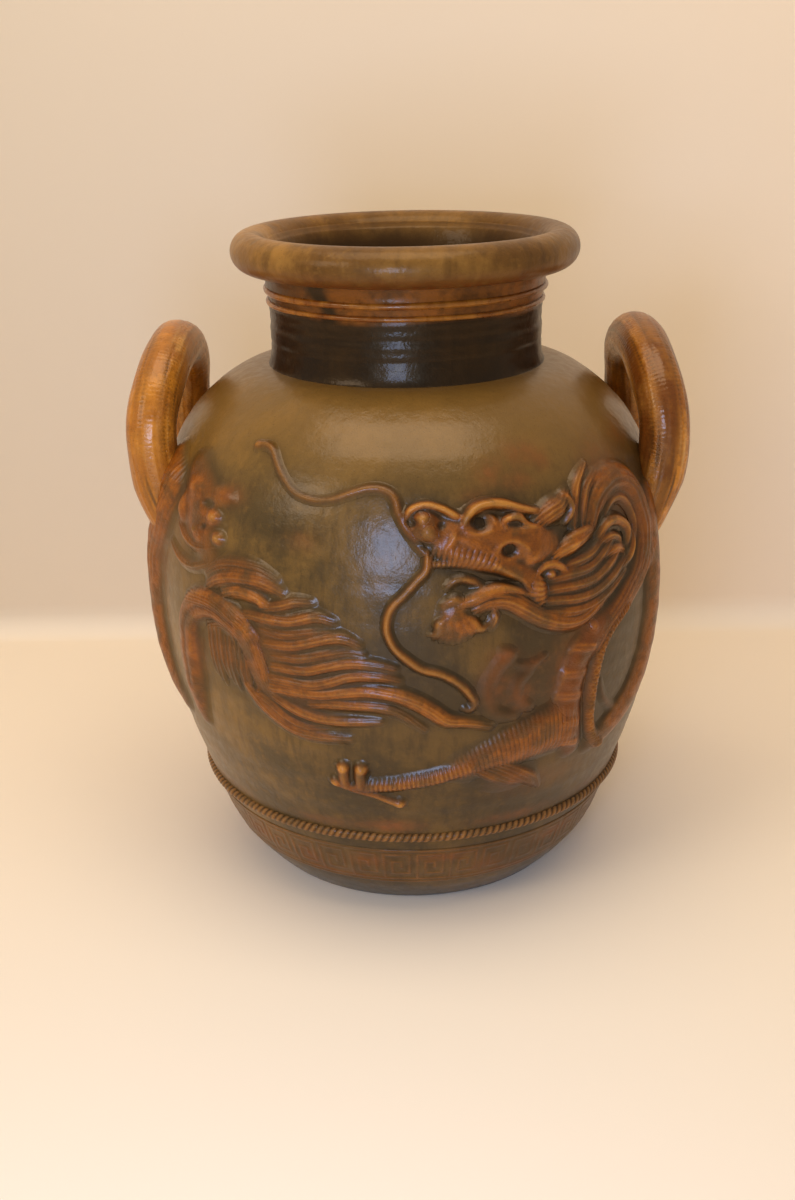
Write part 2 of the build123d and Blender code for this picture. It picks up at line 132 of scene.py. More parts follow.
def soft_max(one: np.ndarray, two: np.ndarray, blend: float) -> np.ndarray:
    """The larger of two heights, with a fillet of soft glaze where they cross."""
    near = np.clip(1 - np.abs(one - two) / blend, 0, 1)
    return np.maximum(one, two) + blend * near * near / 4


def soften(grid: np.ndarray, radius: float) -> np.ndarray:
    """Blurs a grid with a Gaussian, as a product in the frequency plane.

    Args:
        grid: The values.
        radius: The Gaussian's spread, in steps of the grid.

    Returns:
        The blurred grid.
    """
    edge = int(3 * radius) + 1
    wide = np.pad(grid, edge, mode="edge")
    rows, columns = (np.fft.fftfreq(n) for n in wide.shape)
    spread = np.exp(-2 * (math.pi * radius) ** 2 * (rows[:, None] ** 2 + columns[None, :] ** 2))
    return np.fft.ifft2(np.fft.fft2(wide) * spread).real[edge:-edge, edge:-edge]


def ripples(angle: np.ndarray, height: np.ndarray) -> np.ndarray:
    """How far the hand-thrown wall stands out from its smooth outline, in mm.

    Sine waves: slow swells that lean round the jar and up it, and the finer rings that a thrower's
    fingers leave. They fade to nothing at the base and under the neck.

    Args:
        angle: Degrees round the jar.
        height: Millimetres up the outline.

    Returns:
        The waves' sum at every place.
    """
    turn = np.radians(angle)
    swell = 0.30 * np.sin(2 * turn + height / 70 + 0.6) + 0.22 * np.sin(3 * turn - height / 48 + 2.1)
    rings = 0.10 * np.sin(height / 3.4 + 1.2 * np.sin(turn)) + 0.06 * np.sin(height / 1.9 + 0.7)
    fade = np.clip(height / 25, 0, 1) * np.clip((400 - height) / 25, 0, 1)
    return (swell + rings) * fade


@dataclass
class Wall:
    """The jar's outer wall: its outline, and places on it."""

    foot_radius: float = 112.0
    belly_radius: float = 176.4
    belly_height: float = 213.0
    neck_foot_radius: float = 94.0
    neck_foot_height: float = 357.5
    lower_shares: Table = field(default_factory=lambda: [
        (0.103, 0.295), (0.324, 0.598), (0.563, 0.846), (0.845, 0.984),
    ])
    upper_shares: Table = field(default_factory=lambda: [
        (0.235, 0.973), (0.457, 0.905), (0.633, 0.808), (0.765, 0.674), (0.869, 0.498), (0.945, 0.316),
        (0.988, 0.146),
    ])
    samples: int = 4001

    def __post_init__(self) -> None:
        """Lays the outline through its points and measures it.

        The outline is a natural cubic spline over the chords between the points. At every sample it has
        its distance from the base and the unit vector that stands on it outwards.
        """
        widening = self.belly_radius - self.foot_radius
        narrowing = self.belly_radius - self.neck_foot_radius
        rise = self.neck_foot_height - self.belly_height
        points = [(self.foot_radius, 0.0)]
        points += [(self.foot_radius + w * widening, h * self.belly_height) for h, w in self.lower_shares]
        points += [(self.belly_radius, self.belly_height)]
        points += [(self.neck_foot_radius + w * narrowing, self.belly_height + h * rise)
                   for h, w in self.upper_shares]
        points += [(self.neck_foot_radius, self.neck_foot_height)]
        knots = np.array(points)
        chord = np.concatenate([[0], np.cumsum(np.hypot(*np.diff(knots, axis=0).T))])
        line = natural_spline(chord, knots, np.linspace(0, chord[-1], self.samples))
        self.along = np.concatenate([[0], np.cumsum(np.hypot(*np.diff(line, axis=0).T))])
        self.length = float(self.along[-1])
        self.line = line
        ahead = np.gradient(line, self.along, axis=0)
        self.out = np.stack([ahead[:, 1], -ahead[:, 0]], axis=1)

    def section(self, height: np.ndarray) -> tuple[np.ndarray, np.ndarray, np.ndarray, np.ndarray]:
        """The wall's radius and level, and the outward direction, at distances up the outline."""
        pick = [np.interp(height, self.along, column) for column in (*self.line.T, *self.out.T)]
        return pick[0], pick[1], pick[2], pick[3]

    def radius(self, height: np.ndarray) -> np.ndarray:
        """The wall's radius at distances up the outline."""
        return np.interp(height, self.along, self.line[:, 0])

    def height_at(self, level: float) -> float:
        """The distance up the outline of a level above the base."""
        return float(np.interp(level, self.line[:, 1], self.along))

    def points(self, angle: np.ndarray, height: np.ndarray, lift: np.ndarray) -> np.ndarray:
        """Places on the hand-thrown wall, in metres.

        The outline's point, moved out along its normal by the lift and the ripples, and turned about the
        axis by the angle.

        Args:
            angle: Degrees round the jar.
            height: Millimetres up the outline.
            lift: Millimetres out from the wall.

        Returns:
            An array of points with the shape of the angles and a last axis of three.
        """
        radius, level, out_radial, out_up = self.section(height)
        stand = lift + ripples(angle, height)
        return about_axis(radius + stand * out_radial, np.radians(angle), level + stand * out_up)


@dataclass
class Mesh:
    """A mesh in the making: its points, its faces and its named values at each point.

    The last faces, as many as are hidden inside the jar, are shaded flat, so that they don't turn the
    shading of the faces that show.
    """

    points: np.ndarray
    faces: list[np.ndarray]
    values: dict[str, np.ndarray] = field(default_factory=dict)
    hidden: int = 0

    def make(self, name: str, slot: str, material: bpy.types.Material, *nodes: str) -> None:
        """Makes a shaded object that rides on the jar's body.

        Args:
            name: The piece's name.
            slot: The record's material slot; not used.
            material: Its finish.
            nodes: The solids of the frame that the piece stands for.
        """
        sizes = np.concatenate([np.full(len(block), block.shape[1], np.int32) for block in self.faces])
        corners = np.concatenate([block.ravel() for block in self.faces]).astype(np.int32)
        starts = np.concatenate([[0], np.cumsum(sizes)[:-1]]).astype(np.int32)
        data = bpy.data.meshes.new(name)
        data.vertices.add(len(self.points))
        data.vertices.foreach_set("co", self.points.astype(np.float32).ravel())
        data.loops.add(len(corners))
        data.loops.foreach_set("vertex_index", corners)
        data.polygons.add(len(sizes))
        data.polygons.foreach_set("loop_start", starts)
        data.polygons.foreach_set("loop_total", sizes)
        data.polygons.foreach_set("use_smooth", np.arange(len(sizes)) < len(sizes) - self.hidden)
        for label, numbers in self.values.items():
            data.attributes.new(label, "FLOAT", "POINT").data.foreach_set("value", numbers.astype(np.float32))
        data.update(calc_edges=True)
        data.validate()
        data.materials.append(material)
        piece = bpy.data.objects.new(name, data)
        bpy.context.scene.collection.objects.link(piece)
        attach(piece, BODY)
        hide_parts(*nodes)
        log.info("%s: %d points, %d faces", name, len(self.points), len(sizes))


def tube_faces(rows: int, columns: int, closed_rows: bool = False) -> np.ndarray:
    """Quads over a grid of points that closes on itself along its columns.

    Args:
        rows: How many rows of points the grid has.
        columns: How many points a row has.
        closed_rows: Whether the last row joins the first.

    Returns:
        Four corner numbers for each quad.
    """
    numbers = np.arange(rows * columns).reshape(rows, columns)
    if closed_rows:
        numbers = np.vstack([numbers, numbers[:1]])
    side = np.roll(numbers, -1, axis=1)
    return np.stack([numbers[:-1], side[:-1], side[1:], numbers[1:]], axis=-1).reshape(-1, 4)


def end_fans(count: int, columns: int) -> list[np.ndarray]:
    """Triangles that close both ends of a tube whose points are followed by the middles of its ends.

    Args:
        count: How many points the tube has.
        columns: How many of them go round.

    Returns:
        The triangles of the first end and those of the last one.
    """
    first = np.arange(columns)
    last = first + count - columns
    return [np.stack([np.full(columns, count), np.roll(first, -1), first], axis=1),
            np.stack([np.full(columns, count + 1), last, np.roll(last, -1)], axis=1)]


def in_rows(ends: Row = (), **grids: np.ndarray) -> dict[str, np.ndarray]:
    """Named values over a grid of points as rows, with the values of the two end points after them."""
    return {name: np.append(grid.ravel(), ends) for name, grid in grids.items()}


def turned_mesh(profile: np.ndarray, columns: int, closed: bool) -> Mesh:
    """A surface of revolution with the ripples of throwing.

    Every row of the profile is carried round the axis, at its radius plus its share of the ripples.

    Args:
        profile: Rows of radius, level, ripple share and distance up the outline, in mm, outer side first.
        columns: How many points go round.
        closed: Whether the profile is a loop. If not, it starts and ends on the axis.

    Returns:
        The mesh, its faces outwards where the profile goes up on its outer side.
    """
    angle = np.arange(columns)[None, :] * 360 / columns
    radius, level, share, height = (profile[:, i:i + 1] for i in range(4))
    points = about_axis(radius + share * ripples(angle, height), np.radians(angle), level)
    if closed:
        return Mesh(points.reshape(-1, 3), [tube_faces(len(profile), columns, True)])
    middle = points[1:-1].reshape(-1, 3)
    ends = np.array([[0, 0, profile[0, 1]], [0, 0, profile[-1, 1]]]) * MM
    faces = [tube_faces(len(profile) - 2, columns), *end_fans(len(middle), columns)]
    return Mesh(np.vstack([middle, ends]), faces)


class Mark(Enum):
    """What a tool left on a strip of clay."""

    PLAIN = "smoothed with a wet finger"
    RIBS = "pressed across with a blade"
    COMB = "combed along"
    SCALES = "stamped with rows of scales"


@dataclass(frozen=True)
class Strip:
    """A strip of clay laid on the wall, or added on the clay that lies there, or cut out of it.

    Places are rows of angle, mm up the wall and fullness. Tone is how amber its glaze is, from 0 to 1.
    A rise below zero is a cut.
    """

    places: Table
    width: float
    rise: float
    mark: Mark = Mark.PLAIN
    pitch: float = 2.0
    depth: float = 0.5
    tone: float = 0.5
    blend: float = 1.6
    flatness: float = 2.0
    added: bool = False


@dataclass(frozen=True)
class Boss:
    """A round or oval lump on the wall, or one added on the clay that lies there, or a pit in it.

    A ring is an added wall round the place. A rise below zero is a pit.
    """

    angle: float
    height: float
    length: float
    width: float
    rise: float
    tilt: float = 0.0
    tone: float = 0.5
    blend: float = 1.2
    ring: bool = False
    added: bool = False


class Relief:
    """A stretch of the wall as a grid of heights, on which clay is laid piece by piece.

    Heights are in mm out from the wall. Bare wall lies at `floor` while clay is laid and at `sink` when it
    is done. What rises above `keep_above` belongs to a shell, whose underside lies at `underside`. The
    glaze makes a fillet `foot_blend` wide at the clay's foot, rounds its edges by `melt` and leaves
    `comb_share` of a comb's depth. The wall is painted darker within `pooled_shade_reach` of the clay, partly
    as glaze pooled against it and partly as painted shade. Clay shows above `thin`.
    """

    floor = -6.0
    sink = -0.45
    keep_above = -0.40
    underside = -2.2
    foot_blend = 5.2
    melt = 1.3
    pooled_shade_reach = 4.0
    thin = 0.3
    comb_share = 0.58

    def __init__(self, wall: Wall, low: Row, high: Row, step: float) -> None:
        """Sets out the grid.

        Args:
            wall: The wall that it lies on.
            low: The lowest angle and the lowest place up the wall, in mm.
            high: The highest angle and place.
            step: The grid's step in mm.
        """
        self.wall = wall
        self.step = step
        middle = wall.radius(np.array([(low[1] + high[1]) / 2]))[0]
        columns = round((high[0] - low[0]) / math.degrees(step / middle))
        heights = np.arange(low[1], high[1], step)
        self.angle, self.height = np.meshgrid(np.linspace(low[0], high[0], columns + 1), heights)
        self.lift = np.full_like(self.angle, self.floor)
        self.tone = np.full_like(self.angle, 0.5)
        self.fine = np.zeros_like(self.angle)
        self.owner = np.full(self.angle.shape, -1)
        self.groups: list[str] = []

    def window(self, low: Row, high: Row) -> tuple[slice, slice]:
        """The part of the grid between two corners.

        Args:
            low: The angle and the place up the wall of the lower corner.
            high: The same of the upper corner.

        Returns:
            The rows and the columns between them.
        """
        rows = np.searchsorted(self.height[:, 0], [low[1], high[1]])
        columns = np.searchsorted(self.angle[0], [low[0], high[0]])
        return slice(rows[0], rows[1]), slice(columns[0], columns[1])

    def bank(
        self, window: tuple[slice, slice], rise: np.ndarray, piece: Strip | Boss, marks: np.ndarray | float = 0.0,
    ) -> None:
        """Lays a piece of clay with its tool marks on part of the grid, blended into what is there.

        Args:
            window: The part of the grid.
            rise: The piece's height over every place of it, below the floor beside the piece.
            piece: The piece, whose tone and blend count.
            marks: What the tool changes of the height.
        """
        before = self.lift[window]
        self.owner[window] = np.where(rise > before, len(self.groups) - 1, self.owner[window])
        mix = np.clip(0.5 + (rise - before) / (2 * piece.blend), 0, 1)
        self.tone[window] += (piece.tone - self.tone[window]) * mix
        self.fine[window] += (marks - self.fine[window]) * mix
        self.lift[window] = soft_max(before, np.maximum(rise, self.floor), piece.blend)

    def heap(self, window: tuple[slice, slice], rise: np.ndarray, far: np.ndarray, tone: float) -> None:
        """Adds to the clay that lies on part of the grid, or takes away from it.

        Args:
            window: The part of the grid.
            rise: What is added at every place of it.
            far: How far out a place lies, from 0 in the middle to 1 at the edge.
            tone: How amber the glaze is there.
        """
        self.owner[window] = np.where(rise > 0.5, len(self.groups) - 1, self.owner[window])
        self.lift[window] += rise
        self.tone[window] += (tone - self.tone[window]) * np.clip(1.3 * (1 - far), 0, 1)

    def lay(self, strip: Strip) -> None:
        """Lays a strip: a rounded bank along its line, with its tool marks.

        The height over a place is the strip's rise times one less a power of the place's distance from
        the line over the half width, so that it runs under the wall at the strip's edge.

        Args:
            strip: The strip.
        """
        line = smooth_rows(strip.places, 8)
        height = line[:, 1]
        radius = self.wall.radius(height)
        spread = 1.0 if strip.added else math.sqrt(1 - self.floor / strip.rise)
        reach = spread * strip.width * line[:, 2].max() / 2
        wide = math.degrees(reach / radius.min())
        edge = np.array([wide, reach])
        window = self.window(line[:, :2].min(axis=0) - edge, line[:, :2].max(axis=0) + edge)
        angle, level = self.angle[window], self.height[window]
        if angle.size == 0:
            return
        across = (np.radians(angle)[..., None] - np.radians(line[:, 0])) * radius
        up = level[..., None] - height
        nearest = np.argmin(across ** 2 + up ** 2, axis=-1)
        across, up = (np.take_along_axis(v, nearest[..., None], axis=-1)[..., 0] for v in (across, up))
        east, north = np.gradient(np.radians(line[:, 0])) * radius, np.gradient(height)
        size = np.hypot(east, north) + 1e-9
        east, north = east / size, north / size
        travel = np.concatenate([[0], np.cumsum((size[1:] + size[:-1]) / 2)])
        run = travel[nearest] + across * east[nearest] + up * north[nearest]
        beside = across * north[nearest] - up * east[nearest]
        past = np.maximum(np.maximum(-run, run - travel[-1]), 0)
        fullness = np.interp(run, travel, line[:, 2])
        far = np.hypot(beside, past) / (strip.width * (0.3 + 0.7 * fullness) / 2)
        rise = strip.rise * np.minimum(1, fullness) ** 0.9 * (1 - far ** strip.flatness)
        marks = self.marks(strip, run, beside, far)
        if strip.added:
            near = np.minimum(far, 1)
            self.heap(window, strip.rise * fullness * (1 - near * near) ** 2, near, strip.tone)
            self.fine[window] += marks
        else:
            self.bank(window, rise, strip, marks)

    @staticmethod
    def marks(strip: Strip, run: np.ndarray, beside: np.ndarray, far: np.ndarray) -> np.ndarray:
        """The tool marks of a strip as a change of its height.

        Ribs and comb lines are cosines along and across the strip. Scales are a saw wave along it whose
        rows bow outwards and are staggered.

        Args:
            strip: The strip.
            run: How far along it every place lies, in mm.
            beside: How far to the side of its line, in mm.
            far: The distance from the line over the half width.

        Returns:
            The change of the height in mm.
        """
        inside = np.clip(1.1 - far, 0, 1) ** 0.5
        if strip.mark is Mark.RIBS:
            lean = run + 0.12 * beside
            return strip.depth * inside * (np.abs(np.cos(math.pi * lean / strip.pitch)) ** 0.8 - 0.6)
        if strip.mark is Mark.COMB:
            wander = 0.5 * np.sin(run / 7)
            depth = Relief.comb_share * strip.depth
            return depth * inside * np.cos(2 * math.pi * (beside + wander) / strip.pitch)
        if strip.mark is Mark.SCALES:
            cell = beside / (1.3 * strip.pitch)
            odd = np.floor(run / strip.pitch) % 2
            bow = (2 * np.mod(cell + odd / 2, 1) - 1) ** 2
            saw = np.mod(run / strip.pitch + 0.4 * bow, 1)
            return strip.depth * inside * (saw - 0.5)
        return np.zeros_like(run)

    def press(self, boss: Boss) -> None:
        """Sets a lump, ring or pit.

        A lump's height is its rise times one less the square of the distance from its middle over its
        size. A pit or an added lump falls off to nought at its edge, and a ring is a bell curve across it.

        Args:
            boss: The lump, ring or pit.
        """
        radius = self.wall.radius(np.array([boss.height]))[0]
        banked = not (boss.ring or boss.added or boss.rise < 0)
        spread = math.sqrt(1 - self.floor / boss.rise) if banked else 1.7
        reach = spread * max(boss.length, boss.width) / 2
        wide = math.degrees(reach / radius)
        window = self.window((boss.angle - wide, boss.height - reach), (boss.angle + wide, boss.height + reach))
        if self.angle[window].size == 0:
            return
        east = np.radians(self.angle[window] - boss.angle) * radius
        north = self.height[window] - boss.height
        turn = math.radians(boss.tilt)
        long = (east * math.cos(turn) + north * math.sin(turn)) / (boss.length / 2)
        short = (north * math.cos(turn) - east * math.sin(turn)) / (boss.width / 2)
        far = np.hypot(long, short)
        if boss.ring:
            self.heap(window, boss.rise * np.exp(-((far - 0.85) / 0.28) ** 2), np.abs(far - 0.85), boss.tone)
        elif boss.added or boss.rise < 0:
            near = np.minimum(far, 1)
            self.heap(window, boss.rise * (1 - near * near) ** 1.5, near, boss.tone)
        else:
            self.bank(window, boss.rise * (1 - far ** 2), boss)

    def finish(self) -> None:
        """Ends the laying: works out what shows and which group each cell of the grid belongs to.

        A group's edge is smoothed by a vote of the places near it. Cells of one group that touch only at
        a corner get a third cell of that group beside them.
        """
        lift = soft_max(self.lift, np.full_like(self.lift, self.sink), self.foot_blend)
        lift = soften(np.where(self.lift <= self.floor + 1e-6, self.sink, lift), self.melt / self.step)
        self.lift = lift + self.fine * np.clip(lift / 1.5, 0, 1)
        shown = np.maximum(self.lift, 0)
        # The crest: above nought on ridges, below in hollows. The glaze paints ridges bright and hollows dark, partly
        # as painted highlight and painted shade.
        self.crest = shown - soften(shown, 2.0 / self.step)
        # The share of clay nearby, which paints the wall darker round the clay: painted shade, partly glaze pooled
        # there.
        self.cover = soften((self.lift > self.thin).astype(float), self.pooled_shade_reach / self.step)
        votes = [soften((self.owner == i).astype(float), 1.2) for i in range(-1, len(self.groups))]
        cells = (np.argmax(votes, axis=0) - 1)[:-1, :-1]
        above = self.lift > self.keep_above
        cells[~(above[:-1, :-1] | above[1:, :-1] | above[:-1, 1:] | above[1:, 1:])] = -1
        for _ in range(40):
            quarter = (cells[:-1, :-1], cells[:-1, 1:], cells[1:, :-1], cells[1:, 1:])
            falling = (quarter[0] == quarter[3]) & (quarter[0] >= 0)
            falling &= (quarter[1] != quarter[0]) & (quarter[2] != quarter[0])
            rising = (quarter[1] == quarter[2]) & (quarter[1] >= 0)
            rising &= (quarter[0] != quarter[1]) & (quarter[3] != quarter[1])
            if not (falling | rising).any():
                break
            row, column = np.nonzero(falling)
            cells[row, column + 1] = cells[row, column]
            row, column = np.nonzero(rising & ~falling)
            cells[row, column] = cells[row, column + 1]
        self.cells = cells

    def mesh(self, group: str, turn: float = 0.0) -> Mesh:
        """A group's clay above the wall, as a closed shell with its underside in the wall.

        The group's cells become quads at their height over the wall, the same quads turned over lie at
        the underside, and every edge that has one quad gets a side between the two.

        Args:
            group: The group's name.
            turn: How far round the jar the shell is moved, in degrees.

        Returns:
            The shell, with the values at every point that its glaze reads.
        """
        numbers = np.arange(self.lift.size).reshape(self.lift.shape)
        corners = (numbers[:-1, :-1], numbers[:-1, 1:], numbers[1:, 1:], numbers[1:, :-1])
        quads = np.stack(corners, axis=-1)[self.cells == self.groups.index(group)]
        used, flat = np.unique(quads, return_inverse=True)
        quads = flat.reshape(-1, 4)
        angle, height = self.angle.ravel()[used] + turn, self.height.ravel()[used]
        top = self.wall.points(angle, height, self.lift.ravel()[used])
        under = self.wall.points(angle, height, np.full(len(used), self.underside))
        count = len(used)
        edges = np.concatenate([quads[:, [i, (i + 1) % 4]] for i in range(4)])
        keys = np.sort(edges, axis=1) @ np.array([count, 1])
        _, where, times = np.unique(keys, return_index=True, return_counts=True)
        rim = edges[where[times == 1]]
        sides = np.stack([rim[:, 1], rim[:, 0], rim[:, 0] + count, rim[:, 1] + count], axis=1)
        faces = np.concatenate([quads, quads[:, ::-1] + count, sides])
        shown = {"lift": self.lift, "crest": self.crest, "tone": self.tone}
        values = {name: np.tile(grid.ravel()[used], 2) for name, grid in shown.items()}
        values["blush"] = np.tile(blush(angle, height), 2)
        # The near value paints the ground darker round the clay, as painted shade, continuous with the wall.
        values["near"] = np.tile(self.nearby(angle - turn, height), 2)
        return Mesh(np.vstack([top, under]), [faces], values, len(faces) - len(quads))

    def nearby(self, angle: np.ndarray, height: np.ndarray) -> np.ndarray:
        """How much clay lies near places of the wall, where the glaze is painted darker: painted shade, partly pooled
        glaze.

        Args:
            angle: Degrees round the jar.
            height: Millimetres up the outline.

        Returns:
            The share at every place, from 0 to 1, and 0 outside the grid.
        """
        column = (angle - self.angle[0, 0]) / (self.angle[0, 1] - self.angle[0, 0])
        row = (height - self.height[0, 0]) / self.step
        last = np.array(self.cover.shape) - 1
        inside = (column >= 0) & (row >= 0) & (column <= last[1]) & (row <= last[0])
        picked = self.cover[np.clip(row, 0, last[0]).astype(int), np.clip(column, 0, last[1]).astype(int)]
        return np.where(inside, picked, 0)


def per_mm(size: float) -> float:
    """The texture scale that gives a pattern of a real size in mm on an object in metres."""
    return 1 / (size * MM)


def add_node(tree: bpy.types.NodeTree, kind: str, inputs: dict | None = None, **settings: object) -> bpy.types.Node:
    """Adds a shader node.

    Args:
        tree: The node tree.
        kind: The node's type name.
        inputs: Values for its inputs by name or number. A value that is a socket is linked.
        settings: The node's own settings.

    Returns:
        The node.
    """
    node = tree.nodes.new(kind)
    for name, value in settings.items():
        setattr(node, name, value)
    for key, value in (inputs or {}).items():
        if isinstance(value, bpy.types.NodeSocket):
            tree.links.new(value, node.inputs[key])
        else:
            node.inputs[key].default_value = value
    return node


@dataclass(frozen=True)
class Glaze:
    """An iron glaze over stoneware: how it looks where it lies even, thick, thin and broken.

    What ends in _mm is the size of a pattern on the real jar.
    """

    slot: str
    even: str
    light: str
    dark: str
    speck: str = "#2a1c0e"
    # The hollows' colour: glaze pooled thick, and painted shade.
    hollow_pool_and_shade: str = "#1c1208"
    deep: str = "#4e2206"
    amber: str = "#a45a12"
    # The crests' colour: glaze thin on the edges, and a painted highlight.
    thin_crest_and_highlight: str = "#d08e38"
    # The inside's colour: painted shade inside the jar.
    inner: str = "#2e1d0e"
    red: str = "#7c4018"
    cloud_mm: float = 46.0
    patch_mm: float = 19.0
    swell_mm: float = 9.0
    mottle_mm: float = 6.0
    run_mm: float = 5.0
    tool_mm: float = 1.9
    peel_mm: float = 1.3
    speck_mm: float = 0.9
    roughness: float = 0.40
    unevenness: float = 0.07
    sheen_tint: str = "#f2c68c"
    shine: float = 0.42
    coat: float = 0.12
    coat_roughness: float = 0.11
    peel: float = 0.25
    # How much the shoulder is painted paler, as a painted highlight.
    shoulder_painted_highlight: float = 0.0

    def material(self) -> bpy.types.Material:
        """Builds the finish.

        Real: wood-ash and iron glaze fired on a stoneware body, thin and amber on every edge of the clay,
        thick and dark where it pooled. To the eye: mottled clouds, runs down the wall, iron specks, amber
        crests with a painted highlight, dark hollows partly painted shade, and a soft gloss with a fine orange
        peel. Painted light and shade as well: paler on the left (-X) side and on the shoulder, darker from the
        middle to the right (+X), darker round the clay on the wall and inside the jar.

        Returns:
            The material.
        """
        material = bpy.data.materials.new(self.slot)
        material.use_nodes = True
        tree = material.node_tree
        tree.nodes.clear()
        place = add_node(tree, "ShaderNodeTexCoord").outputs["Object"]

        def value(name: str) -> bpy.types.NodeSocket:
            """A value of the mesh's points."""
            return add_node(tree, "ShaderNodeAttribute", attribute_name=name).outputs["Fac"]

        def noise(size: float, detail: float = 3.0, stretch: float = 1.0) -> bpy.types.NodeSocket:
            """Noise over the jar.

            Args:
                size: The pattern's size in mm.
                detail: How many finer patterns it holds.
                stretch: How far it is drawn out up the jar.

            Returns:
                Its value.
            """
            at = add_node(tree, "ShaderNodeMapping", {"Vector": place, "Scale": (1, 1, 1 / stretch)})
            inputs = {"Vector": at.outputs[0], "Scale": per_mm(size), "Detail": detail, "Roughness": 0.6}
            return add_node(tree, "ShaderNodeTexNoise", inputs).outputs["Fac"]

        def ranged(
            source: bpy.types.NodeSocket, low: float, high: float, start: float, end: float, curve: str = "LINEAR",
        ) -> bpy.types.NodeSocket:
            """A value that runs from a start to an end while its source runs from low to high."""
            inputs = {"Value": source, 1: low, 2: high, 3: start, 4: end}
            return add_node(tree, "ShaderNodeMapRange", inputs, interpolation_type=curve).outputs[0]

        def mixed(share: bpy.types.NodeSocket, first: object, second: object) -> bpy.types.NodeSocket:
            """A colour between two colours, each a hex code or a socket."""
            colours = {key: linear_colour(c) if isinstance(c, str) else c for key, c in ((6, first), (7, second))}
            return add_node(tree, "ShaderNodeMix", {0: share, **colours}, data_type="RGBA").outputs[2]

        def laid(colour: object, *layers: tuple) -> bpy.types.NodeSocket:
            """Layers of colour over a first one.

            Args:
                colour: The first colour.
                layers: Each a source, its low and high, the most that the layer hides, and its colour.

            Returns:
                The colour of them all.
            """
            for source, low, high, most, over in layers:
                colour = mixed(ranged(source, low, high, 0.0, most, "SMOOTHSTEP"), colour, over)
            return colour

        def times(one: bpy.types.NodeSocket, two: bpy.types.NodeSocket) -> bpy.types.NodeSocket:
            """The product of two values."""
            return add_node(tree, "ShaderNodeMath", {0: one, 1: two}, operation="MULTIPLY").outputs[0]

        def bump(
            height: bpy.types.NodeSocket, strength: float, depth: float, **under: object,
        ) -> bpy.types.NodeSocket:
            """A bump of a depth in mm, on the normal under it."""
            inputs = {"Strength": strength, "Distance": depth * MM, "Height": height, **under}
            return add_node(tree, "ShaderNodeBump", inputs).outputs[0]

        clouds, runs = noise(self.cloud_mm, 5.0), noise(self.run_mm, 3.0, 7.0)
        mottle, patches = noise(self.mottle_mm, 4.0), noise(self.patch_mm, 4.0)
        lift, crest = value("lift"), value("crest")
        axes = add_node(tree, "ShaderNodeSeparateXYZ", {"Vector": place}).outputs
        ground = laid(
            self.even,
            (clouds, 0.40, 0.66, 0.65, self.light),
            (runs, 0.44, 0.70, 0.42, self.dark),
            (mottle, 0.50, 0.74, 0.30, self.light),
            # Painted light and shade: the glaze is painted lighter on the left (-X) and darker from the middle
            # towards the right (+X).
            (axes["X"], -0.12, 0.0, 0.42, self.dark),
            (axes["X"], 0.04, 0.17, 0.30, self.dark),
            (axes["X"], -0.06, -0.17, 0.35, self.light),
            # Painted highlight: the shoulder, which faces the overhead light, is painted paler.
            (axes["Z"], 0.285, 0.345, self.shoulder_painted_highlight, self.light),
            # Painted shade: the wall is painted darker round the clay, partly as glaze pooled against it.
            (value("near"), 0.05, 0.85, 0.50, self.dark),
        )
        clay = laid(
            mixed(value("tone"), self.deep, self.amber),
            (mottle, 0.40, 0.66, 0.55, self.deep),
            # Crests are painted bright: partly glaze thin on the edges, partly a painted highlight.
            (crest, 0.15, 1.3, 0.5, self.thin_crest_and_highlight),
            (patches, 0.46, 0.66, 0.6, self.even),
            # Hollows are painted nearly black: partly glaze pooled thick there, partly painted shade.
            (crest, 0.05, -0.55, 0.85, self.hollow_pool_and_shade),
        )
        specks = noise(self.speck_mm, 2.0)
        colour = laid(ground, (lift, 0.5, 4.4, 1.0, clay), (specks, 0.62, 0.72, 0.55, self.speck))
        colour = mixed(times(value("blush"), ranged(mottle, 0.36, 0.62, 0.5, 1.1)), colour, self.red)
        # Painted shade: the inside of the jar is painted darker.
        colour = mixed(value("inner"), colour, self.inner)
        skin = bump(noise(self.peel_mm, 2.0), self.peel, 0.3)
        swell = bump(noise(self.swell_mm), 0.45, 1.0, Normal=skin)
        tooled = times(noise(self.tool_mm, 3.0, 0.6), ranged(lift, 0.8, 3.2, 0.0, 1.0, "SMOOTHSTEP"))
        surface = add_node(tree, "ShaderNodeBsdfPrincipled", {
            "Base Color": colour,
            "Roughness": ranged(mottle, 0.3, 0.7, self.roughness - self.unevenness, self.roughness + self.unevenness),
            "IOR": 1.5,
            "Specular IOR Level": self.shine,
            "Specular Tint": linear_colour(self.sheen_tint),
            "Coat Weight": self.coat,
            "Coat Roughness": self.coat_roughness,
            "Normal": bump(tooled, 0.7, 0.9, Normal=swell),
            "Coat Normal": swell,
        })
        add_node(tree, "ShaderNodeOutputMaterial", {"Surface": surface.outputs[0]})
        return material


# Ash glaze over the thrown wall: an even olive skin with clouds, with a painted highlight on the shoulder.
OLIVE = Glaze("olive_glaze", "#3f3118", "#866027", "#20170c", coat=0.40, coat_roughness=0.23, shoulder_painted_highlight=0.6)
# The same glaze over the applied clay, thin and amber on its crests, with a painted highlight there.
RELIEF = replace(OLIVE, slot="relief_glaze")
# Glaze wiped thin over the foot and its bands: duller, with the brown clay under it.
FOOT = Glaze("foot_glaze", "#5c4324", "#8a6638", "#2e2114", deep="#4a2810", amber="#a0622a", thin_crest_and_highlight="#c4904e")
